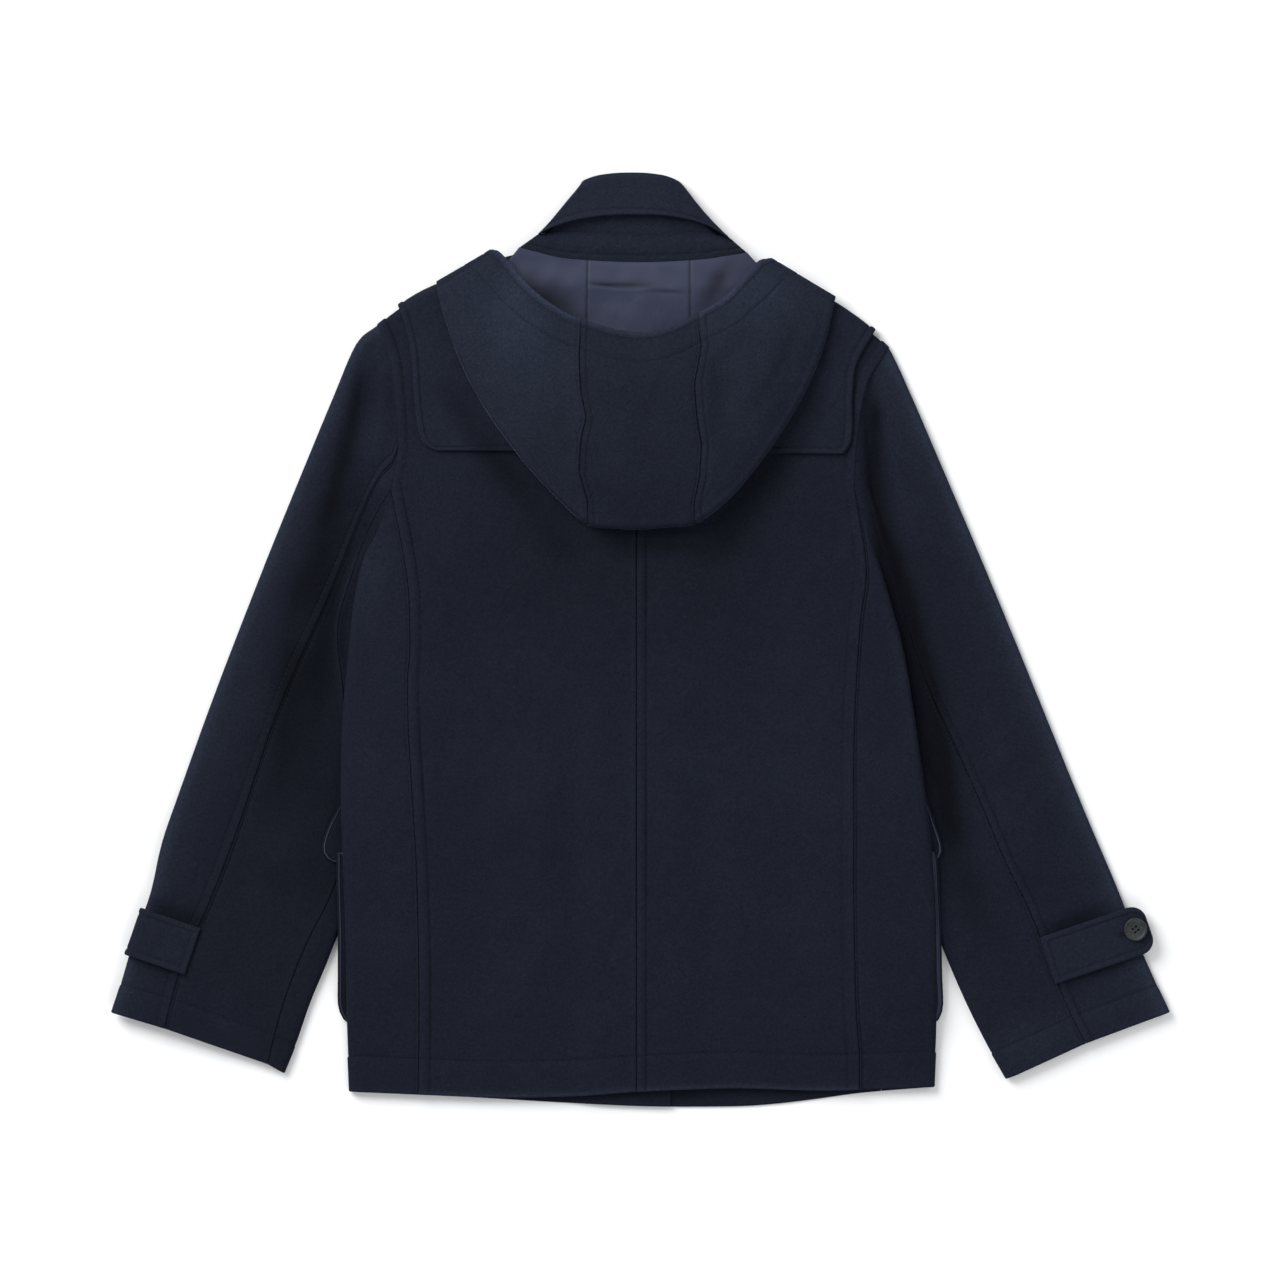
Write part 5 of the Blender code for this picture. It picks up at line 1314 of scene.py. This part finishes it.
# %% Cut the satin lining
LINING_BOTTOM = ((-121, 321), (-115, 300), (-96, 280), (-76, 267), (-52, 258), (0, 246), (50, 263),
                 (79, 278), (92, 290), (104, 303), (111, 316))
LINING_STEPS = 40
LINING_MID = HOOD_FLOOR + WOOL + LAYER_GAP + SATIN / 2 + 1.2
LINING_NECK_MID = 11.6
LINING_DROP_Y = 304.0
LINING_DROP = 28.0
LINING_STEP = 1.5
SATIN_SEAM_WIDTH = 0.9
LINING_FOLDS = (
    (-46, 309.2, 12, 307.8, -1.5, 2.0, -1.1), (-46, 305, 12, 303.5, -1.5, 2.6, 0.7),
    (-2, 301.8, 45, 300.2, 1, 1.8, -0.5), (-2, 304.5, 45, 303, 1, 2.2, 0.3),
    (-92, 322, -56, 262, 5, 12, -0.7), (80, 320, 56, 278, -4, 12, -0.6),
    (-24, 290, 24, 286, 3, 12, 0.6),
)
# Strokes of painted shade on the satin: the shadow under the mouth's edge and dark lines in its creases.
LINING_PAINTED_SHADE = (
    (-106, 324, -50, 268, -3, 10, 0.68), (-78, 316, -52, 270, 0, 12, 0.52),
    (-84, 334, -46, 330, 0, 6, 0.25), (84, 334, 54, 276, -4, 9, 0.55),
    (-46, 309.2, 12, 307.8, -1.5, 1.5, 0.75), (-48, 311, 14, 309, -1, 4, 0.3),
    (-2, 301.8, 45, 300.2, 1, 1.5, 0.4), (-44, 340, 44, 340, 2, 6, 0.25),
)
lining_plan = between(through(BAND_BOTTOM, 80) + np.array([0.0, 0.4]), through(LINING_BOTTOM, 80),
                      LINING_STEPS)
drop = smoothstep((lining_plan[..., 1] - LINING_DROP_Y) / LINING_DROP)
lining_z = (LINING_MID + hood_lift(lining_plan[..., 0])) * (1 - drop) + LINING_NECK_MID * drop
lining_middle = np.dstack([lining_plan, lining_z])


def satin_seams(x, y):
    """Two narrow pressed seams in the satin, one each side of the centre."""
    return near(x + 46 - 0.02 * (y - 300), SATIN_SEAM_WIDTH) + near(x - 43.5, SATIN_SEAM_WIDTH)


# Painted shade on the satin: along its two seams and in its creases and hollows.
def satin_painted_shade(x, y):
    return np.clip(0.8 * satin_seams(x, y) + folds(x, y, LINING_PAINTED_SHADE), 0, 1)


def satin_ground(x, y):
    return -0.5 * satin_seams(x, y)


cut_piece("hood_lining", lining_middle, -grid_normals(lining_middle), satin_ground, {},
          table=LINING_FOLDS, step=LINING_STEP, cloth="satin", thick=SATIN, limit=(-2.5, 2.2),
          painted_crease_shade=satin_painted_shade, down_share=0.0, rests_on=("hood_centre", "hood_left", "hood_right"))

# %% [markdown]
# ## The collar
# The collar turns down from its roll line at the top.  Its fall lies over the stand, which shows as
# a dark crescent under the fall's lower edge.  Each row goes round as an open loop: a short leaf in
# front, a fold, the back, another fold and a leaf.

# %% Cut the collar's fall and stand
COLLAR_COLUMNS = ("left_x", "left_y", "right_x", "right_y", "middle_y", "height")
COLLAR_FALL = ((-50, 399, 35, 398, 406, 8.0), (-54, 393, 40, 392, 401, 11.2), (-64, 381, 50, 379, 392, 12.2),
               (-78, 364, 63, 364, 381, 13.4), (-89, 352, 81, 346, 369, 16.0))
COLLAR_STAND = ((-46, 392, 32, 391, 399, 7.6), (-56, 378, 42, 376, 386, 7.6), (-72, 362, 57, 361, 369, 7.6),
                (-90, 347, 74, 346, 348, 7.6))
COLLAR_REACH = 3.0
COLLAR_SQUARE = 2.6
COLLAR_ROWS, COLLAR_STEPS, LEAF_STEPS = 24, 40, 12
COLLAR_LINE = 6.0
COLLAR_LEAF = np.array([40.0, 0.0])


def collar_path(row, lower_mid):
    left, right = places(COLLAR_COLUMNS, row, ("left", "right"))
    middle_y, height = row[COLLAR_COLUMNS.index("middle_y"):]
    half_height = (height - lower_mid) / 2
    back = straight(left, right, COLLAR_STEPS)
    square = np.abs(np.linspace(-1, 1, COLLAR_STEPS + 1)) ** COLLAR_SQUARE
    back[:, 1] += (middle_y - back[:, 1]) * (1 - square)
    to_right, right_out = run_to_fold(back, COLLAR_REACH)
    to_left, left_out = run_to_fold(to_right[::-1], COLLAR_REACH)
    path = layer_path(straight(to_left[-1] + COLLAR_LEAF, to_left[-1], LEAF_STEPS), -1.0, half_height)
    path += fold_path(left - left_out * WOOL / 2, left_out, half_height, COLLAR_REACH)[::-1]
    path += layer_path(to_left[::-1], 1.0, half_height)
    path += fold_path(right - right_out * WOOL / 2, right_out, half_height, COLLAR_REACH)
    path += layer_path(straight(to_right[-1], to_right[-1] - COLLAR_LEAF, LEAF_STEPS), -1.0, half_height)
    return [(place + np.array([0, 0, lower_mid + half_height]), direction) for place, direction in path]


for node, table, lower_mid, lines in (("collar_fall", COLLAR_FALL, WOOL / 2, {"bottom": (COLLAR_LINE,)}),
                                      ("collar_stand", COLLAR_STAND, WOOL * 1.5 + LAYER_GAP, {})):
    paths = [collar_path(row, lower_mid) for row in sections(table, COLLAR_ROWS)]
    cut_piece(node, *from_paths(paths, 0.0, ()), level, lines, step=2.6, welt=0.6, down_share=0.0,
              limit=(-0.3, 0.4), held="folded")

# %% [markdown]
# ## Pockets and flaps
# The patch pockets are on the fronts, so only their outer edges show beside the body.  They lie
# under the front, and what looks up is the turned-in facing along the edge.

# %% Cut the pockets and their flaps
POCKET_ROWS_Y = (-184, -194, -212, -252, -294, -318, -330, -335)
FLAP_ROWS_Y = (-134, -149, -164, -180, -189, -194)
POCKET_X = {"left": (-264, -264, -264, -263, -263, -263, -259, -253),
            "right": (257, 259, 260, 262, 263, 264, 261, 255)}
FLAP_X = {"left": (-255, -264, -272, -277, -275, -267), "right": (248, 253, 258, 263, 262, 255)}
POCKET_BELOW = LAYER_GAP + WOOL / 2
FLAP_BELOW = POCKET_BELOW + WOOL + LAYER_GAP / 2
POCKET_DEPTH_IN = 162.0
POCKET_LINE = 3.6
POCKET_ROWS, POCKET_STEPS = 28, 30


def lying_flat(plan, height):
    """The middle and the directions of a piece that lies flat with its right side up."""
    middle = np.dstack([plan, np.full(plan.shape[:2], height)])
    upright = np.zeros(middle.shape)
    upright[..., 2] = 1.0
    return middle, upright


def pocket_piece(node, sign, rows_y, outer_x, below, facing_strip, rests_on):
    """A pocket or a flap, its rows run in from the outer edge under the front."""
    edge = SIDE_EDGE_LEFT if sign < 0 else SIDE_EDGE_RIGHT
    inner_x = x_at(edge, rows_y[-1]) - sign * POCKET_DEPTH_IN
    outline = sections(np.column_stack([outer_x, rows_y]), POCKET_ROWS)
    plan = np.array([straight(place, np.array([inner_x, place[1]]), POCKET_STEPS) for place in outline])
    cut_piece(node, *lying_flat(plan, -below), side_lift, {"left": (POCKET_LINE,), "bottom": (POCKET_LINE,)},
              step=HIDDEN_STEP, welt=0.3, limit=(-0.1, 0.1), facing_strip=facing_strip, rests_on=rests_on)


for side, sign, strip in (("left", -1, (1.5, 2.4)), ("right", 1, (1.0, 3.8))):
    pocket_piece("pocket_" + side, sign, POCKET_ROWS_Y, POCKET_X[side], POCKET_BELOW, strip, ())
    pocket_piece("pocket_flap_" + side, sign, FLAP_ROWS_Y, FLAP_X[side], FLAP_BELOW, (1.0, 2.2),
                 ("pocket_" + side,))

# %% [markdown]
# ## Cuff straps
# Each strap is sewn down at a square end and buttoned at a round one, and stitched all round.  The
# right strap lies flat with its button up.  The left one goes round the sleeve and its button is
# underneath.

# %% Cut the cuff straps
STRAP_HALF_WIDTH = 21.5
STRAP_CORNER = 13.0
STRAP_MID = BACK_TOP + LAYER_GAP + WOOL / 2
STRAP_RIGHT = ((355.0, -280.0), (443.0, -250.0))
STRAP_LEFT_START, STRAP_LEFT_FOLD = (-389.0, -272.0), (-441.5, -254.0)
STRAP_LEFT_UNDER = 36.0
STRAP_LINES = {side: (5.5,) for side in SIDES}
STRAP_ROWS, STRAP_COLUMNS, STRAP_TURNS = 20, 15, 8
STRAP_CUT = {"step": 2.6, "welt": 0.5, "limit": (-0.1, 0.25)}


def strap_plan(start, end, rounded_end):
    start, end = np.array(start), np.array(end)
    length = np.linalg.norm(end - start)
    along = (end - start) / length
    across = np.array([-along[1], along[0]])
    plain = length - STRAP_CORNER * rounded_end
    rows = [(share * plain, STRAP_HALF_WIDTH) for share in np.linspace(0, 1, STRAP_ROWS)]
    for angle in np.linspace(0, math.pi / 2, STRAP_TURNS + 1)[1:] if rounded_end else ():
        inset = STRAP_CORNER * (1 - math.cos(angle))
        rows.append((plain + STRAP_CORNER * math.sin(angle), STRAP_HALF_WIDTH - inset))
    plan = [[start + along * place + across * half * side for side in np.linspace(-1, 1, STRAP_COLUMNS)]
            for place, half in rows]
    return np.array(plan), along


plan, _ = strap_plan(*STRAP_RIGHT, True)
cut_piece("cuff_strap_right", *lying_flat(plan, STRAP_MID), level, STRAP_LINES, **STRAP_CUT,
          rests_on=("sleeve_right_upper",))

half_height = STRAP_MID - TUBE_HALF_HEIGHT
reach = FOLD_REACH + half_height - TUBE_MID
edge = np.array(STRAP_LEFT_FOLD)
top_plan, along = strap_plan(STRAP_LEFT_START, edge, False)
middle_edge = edge - along * WOOL / 2
fold_start = middle_edge - along * reach
shares = np.linspace(0, 1, len(top_plan))
last_middle = top_plan[-1][STRAP_COLUMNS // 2]
upper = np.array([row + (fold_start - last_middle) * share for row, share in zip(top_plan, shares)])
lower, _ = strap_plan(fold_start, fold_start - along * STRAP_LEFT_UNDER, True)
paths = [layer_path(row, 1.0, half_height) for row in upper]
for place, direction in fold_path(middle_edge, along, half_height, reach):
    shift = np.array([*(place[:2] - fold_start), 0.0])
    paths.append([(np.array([*point, place[2]]) + shift, direction) for point in upper[-1]])
paths += [layer_path(row[::-1], -1.0, half_height) for row in lower]
cut_piece("cuff_strap_left", *from_paths(paths, TUBE_HALF_HEIGHT, ()), left_sleeve_lift, STRAP_LINES,
          **STRAP_CUT, down_share=0.0, rests_on=("sleeve_left_upper",))

# %% [markdown]
# ## Cuff buttons
# A four-hole coat button is turned from a thick blank: a rounded rim, a shallow dish and four
# drilled holes.  The face stays plain.  Cutting real holes lets them hold a true shadow, and the
# sewing thread goes from hole to hole.

# %% Turn the buttons and drill them
BUTTON_RADIUS = 10.0
HOLE_RADIUS = 1.0
HOLES = ((-2.5, 0.3), (0.3, 2.5), (2.5, -0.3), (-0.3, -2.5))
DISH_DEPTH = 1.0
DISH = ((7.6, 0.62), (7.0, 0.8), (5.6, 0.92), (3.5, DISH_DEPTH))
UNDER_ROUND, RIM_ROUND = 0.9, 1.1
DRILL_REACH = 40.0
BUTTON_GAP = 0.4
STRAP_TOP = STRAP_MID + WOOL / 2
LEFT_STRAP_UNDERSIDE = CUFF_RISE + 2 * TUBE_HALF_HEIGHT - STRAP_TOP
# Each button: its middle in plan, its lowest height, its thickness and the way its face looks.
BUTTONS = {"right": ((431.0, -252.5), STRAP_TOP + BUTTON_GAP, 3.4, 1),
           "left": ((-415.5, -262.5), LEFT_STRAP_UNDERSIDE - BUTTON_GAP - 2.4, 2.4, -1)}


def turned(name, place, profile, facing, bottom, sides=64):
    """A solid turned about an upright axis from a profile of radius and height."""
    turns = [2 * math.pi * side / sides for side in range(sides)]
    rings = [(radius * math.cos(turn), radius * math.sin(turn), height)
             for radius, height in profile for turn in turns]
    faces = [(ring * sides + side, ring * sides + (side + 1) % sides,
              (ring + 1) * sides + (side + 1) % sides, (ring + 1) * sides + side)
             for ring in range(len(profile) - 1) for side in range(sides)]
    faces += [tuple(range(sides))[::-1], tuple((len(profile) - 1) * sides + side for side in range(sides))]
    body = add_mesh(name, np.array(rings) * (1, 1, facing) + (*place, bottom), faces)
    if facing < 0:
        body.data.flip_normals()
    return body


def drill(body, holes):
    """Cut straight holes with cylinders and keep the cut mesh."""
    for x, y in holes:
        profile = [(HOLE_RADIUS, -DRILL_REACH), (HOLE_RADIUS, DRILL_REACH)]
        guide = turned("drill", (x, y), profile, 1, 0.0, sides=24)
        cut = body.modifiers.new("hole", "BOOLEAN")
        cut.operation = "DIFFERENCE"
        cut.solver = "EXACT"
        cut.object = guide
        drilled = bpy.data.meshes.new_from_object(body.evaluated_get(bpy.context.evaluated_depsgraph_get()))
        body.modifiers.clear()
        body.data = drilled
        bpy.data.objects.remove(guide, do_unlink=True)


def button(node, place, bottom, thick, facing):
    under = [(BUTTON_RADIUS - UNDER_ROUND * (1 - math.sin(angle)), UNDER_ROUND * (1 - math.cos(angle)))
             for angle in np.linspace(0, math.pi / 2, 5)]
    rim = [(BUTTON_RADIUS - RIM_ROUND * (1 - math.cos(angle)), thick - RIM_ROUND * (1 - math.sin(angle)))
           for angle in np.linspace(0, 2.3, 8)]
    dish = [(radius, thick - depth) for radius, depth in DISH]
    base = bottom + (thick if facing < 0 else 0.0)
    body = turned(node + "_turned", place, under + rim + dish, facing, base)
    drill(body, [(place[0] + x, place[1] + y) for x, y in HOLES])
    body.data.materials.clear()
    body.data.materials.append(MATERIALS["resin"])
    body.data.polygons.foreach_set("use_smooth", [True] * len(body.data.polygons))
    body.data.set_sharp_from_angle(angle=math.radians(40))
    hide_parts(node)
    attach(body, "root")
    print(node, "turned,", len(body.data.polygons), "faces")


for side, blank in BUTTONS.items():
    button("cuff_button_" + side, *blank)

# %% [markdown]
# ## Topstitching
# A machine stitch on a thick coat is a row of short cords, each pulled down at both ends where the
# needle went in.  A row follows the groove pressed into its piece: the distances that the piece was
# cut with are used again, so the points are already on the cloth.  Each stitch is a bent capsule.

# %% Rows on the cloth, and bent capsules
STITCH_PITCH = 4.4
STITCH_LENGTH = 3.5
STITCH_RADIUS = 0.34
STITCH_SLENDER = 0.45
STITCH_ARCH = 0.42
STITCH_SINK = 0.3
FIRST_STITCH = 0.4
CORNER_CLEAR = 2.5
STITCHED = {
    "body": dict.fromkeys(("back_left", "back_right", "side_left", "side_right"), SIDES),
    "sleeves": dict.fromkeys((node for node in sewn if node.startswith("sleeve")), SIDES),
    "yoke": {"yoke": SIDES},
    "hood": {"hood_left": ("left",), "hood_centre": ("left", "top"), "hood_right": ("left", "top"),
             "hood_band": ("bottom",), "collar_fall": ("bottom",)},
    "cuffs": dict.fromkeys(("cuff_strap_left", "cuff_strap_right"), SIDES),
}


def seam_line(node, side, line):
    """The row of points on a piece's outer skin at a distance from one of its sides."""
    cut = sewn[node]
    to_others = np.minimum.reduce([cut["distance"][other] for other in SIDES if other != side])
    grids = (cut["outer"], cut["distance"][side], to_others, cut["kept_lines"])
    if side in ("top", "bottom"):
        grids = (grid.swapaxes(0, 1) for grid in grids)
    skin, inward, to_others, kept_lines = grids
    column = np.abs(inward - line).argmin(axis=1)
    rows = np.arange(len(column))
    keep = (to_others[rows, column] > CORNER_CLEAR) & (np.abs(inward[rows, column] - line) < 1.0)
    keep = keep & (kept_lines[rows, column] > 0.5)
    return skin[rows[keep], column[keep]]


def capsule(points, faces, places, radius, slender, arch, sink=0.0, sides=6):
    """Add a cord through places in a row: thinner at its ends, arched upward and sunk."""
    ahead = (places[-1] - places[0]) / np.linalg.norm(places[-1] - places[0])
    beside = np.cross(ahead, (0, 0, 1.0))
    beside = beside / np.linalg.norm(beside)
    upward = np.cross(beside, ahead)
    turns = 2 * math.pi * np.arange(sides) / sides
    ring = radius * (np.outer(np.cos(turns), beside) + np.outer(np.sin(turns), upward))
    first = len(points)
    for share, place in zip(np.linspace(0, 1, len(places)), places):
        bow = math.sin(math.pi * share)
        points += list(place + upward * (arch * bow - sink) + ring * (slender + (1 - slender) * bow ** 0.5))
    last = len(points) - sides
    faces += [(low + side, low + (side + 1) % sides, low + sides + (side + 1) % sides, low + sides + side)
              for low in range(first, last, sides) for side in range(sides)]
    faces += [tuple(range(first, first + sides))[::-1], tuple(range(last, last + sides))]


def thread_mesh(name, points, faces):
    piece = add_mesh(name, points, faces)
    piece.data.materials.append(MATERIALS["thread"])
    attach(piece, "root")
    print(name, "has", len(faces), "faces")


print("a stitch every", STITCH_PITCH, "mm")

# %% [markdown]
# ### Sewing the rows
# All the stitches of one part of the coat are gathered in one mesh, since a thousand small pieces
# would be slow to handle.

# %% Sew the rows of stitches
def stitch_mesh(name, lines):
    """Stitches along a list of lines on the cloth, gathered in one mesh."""
    points, faces = [], []
    for line in lines:
        along = travelled(line[None])[0]
        if along[-1] < STITCH_PITCH * 2:
            continue
        for start in np.arange(FIRST_STITCH, along[-1] - STITCH_LENGTH, STITCH_PITCH):
            stations = start + STITCH_LENGTH * np.linspace(0, 1, 5)
            places = np.column_stack([np.interp(stations, along, column) for column in line.T])
            capsule(points, faces, places, STITCH_RADIUS, STITCH_SLENDER, STITCH_ARCH, STITCH_SINK)
    thread_mesh(name, points, faces)


for name, pieces in STITCHED.items():
    stitch_mesh("stitches_" + name, [seam_line(node, side, line) for node, sides in pieces.items()
                                     for side in sides for line in sewn[node]["lines"][side]])

# %% [markdown]
# ### Thread through the buttons and the buttonhole
# Each button is held by two bars of thick thread, each through two of its holes.  The buttonhole
# beside it is edged with close stitches laid across the cut, which stop the cloth from fraying.

# %% Button threads and buttonhole
CORD_SLENDER = 0.6
THREAD_RADIUS, THREAD_ARCH, THREAD_SINK = 0.36, 0.4, 0.2
EDGING_RADIUS, EDGING_ARCH, EDGING_RISE = 0.26, 0.22, 0.02
EDGING_PITCH = 0.55
SLIT_HALF, SLIT_END_INSET, EDGING_REACH = 0.25, 0.3, 2.0
SLIT_START, SLIT_END = np.array([418.0, -257.0]), np.array([437.0, -250.5])

for side, ((x, y), bottom, thick, facing) in BUTTONS.items():
    points, faces = [], []
    dish_z = bottom + (thick - DISH_DEPTH if facing > 0 else DISH_DEPTH) - THREAD_SINK * facing
    for holes in (HOLES[:2], HOLES[2:]):
        start, end = (np.array([x + hole_x, y + hole_y, dish_z]) for hole_x, hole_y in holes)
        capsule(points, faces, straight(start, end, 6), THREAD_RADIUS, CORD_SLENDER, THREAD_ARCH * facing,
                sides=8)
    thread_mesh("button_thread_" + side, points, faces)

slit_length = float(np.linalg.norm(SLIT_END - SLIT_START))
slit_along = (SLIT_END - SLIT_START) / slit_length
slit_across = np.array([-slit_along[1], slit_along[0]])
bars = [(SLIT_START + slit_along * reach, slit_across * edge, SLIT_HALF) for edge in (-1, 1)
        for reach in np.arange(0.0, slit_length, EDGING_PITCH)]
bars += [(SLIT_START, slit_along * math.cos(turn) + slit_across * math.sin(turn), SLIT_END_INSET)
         for turn in np.linspace(math.pi / 2, 3 * math.pi / 2, 9)[1:-1]]
points, faces = [], []
for place, ray, inset in bars:
    start, end = (np.array([*(place + ray * reach), STRAP_TOP + EDGING_RISE])
                  for reach in (inset, EDGING_REACH))
    capsule(points, faces, straight(start, end, 4), EDGING_RADIUS, CORD_SLENDER, EDGING_ARCH)
thread_mesh("buttonhole_right", points, faces)

# %% [markdown]
# ## Studio
# The coat lies on a plain pale floor.  One large soft light stands up and to the left, low enough
# for the folds to show, with two faint fills from the right and from below.  A pale surround fills
# the shadows without removing them.

# %% Floor and soft light
FLOOR_HALF = 6.0


def pale_floor():
    signs = ((-1, -1), (1, -1), (1, 1), (-1, 1))
    mesh = bpy.data.meshes.new("floor")
    mesh.from_pydata([(FLOOR_HALF * x, FLOOR_HALF * y, 0) for x, y in signs], [], [(0, 1, 2, 3)])
    paper = Shading("pale_floor")
    tone = paper.ramp(paper.noise(3, 2), (0.90, 0.90, 0.90), (0.92, 0.92, 0.92), (0.35, 0.65))
    mesh.materials.append(paper.finished({"Base Color": tone, "Roughness": 0.9, "Specular IOR Level": 0.0}))
    add_object("floor", mesh)


def soft_light(name, place, size, watts):
    """A round light that shines at the middle of the coat."""
    data = bpy.data.lights.new(name, "AREA")
    data.shape = "DISK"
    data.size = size
    data.energy = watts
    lamp = add_object(name, data)
    x, y, height = place
    lamp.location = place
    lamp.rotation_euler = (math.atan2(math.hypot(x, y), height), 0.0, math.atan2(-y, -x) - math.pi / 2)


pale_floor()
soft_light("window_left", (-2.1, 2.1, 2.2), 2.7, 165)
soft_light("fill_right", (2.2, 0.6, 2.0), 2.0, 14)
soft_light("fill_below", (0.6, -2.6, 2.0), 2.4, 30)
world = bpy.data.worlds.new("studio")
bpy.context.scene.world = world
world.use_nodes = True
background = world.node_tree.nodes["Background"]
background.inputs["Color"].default_value = (0.93, 0.96, 1.0, 1)
background.inputs["Strength"].default_value = 0.42
bpy.context.scene.view_settings.view_transform = "Standard"

# %% [markdown]
# ## Camera
# A long lens high above the table keeps the outline square to the cloth, as in a catalogue picture.

# %% Camera straight above
VIEW_WIDTH = 1.1136
VIEW_MIDDLE = (-0.0005, -0.0002)
SENSOR_WIDTH = 36.0
CAMERA_HEIGHT = 8.0
SHARP_HEIGHT = 0.010
camera_data = bpy.data.cameras.new("above")
camera_data.sensor_width = SENSOR_WIDTH
camera_data.lens = SENSOR_WIDTH * CAMERA_HEIGHT / VIEW_WIDTH
camera = add_object("above", camera_data)
camera.location = (*VIEW_MIDDLE, CAMERA_HEIGHT + SHARP_HEIGHT)
bpy.context.scene.camera = camera
print("lens", round(camera_data.lens, 1), "mm")
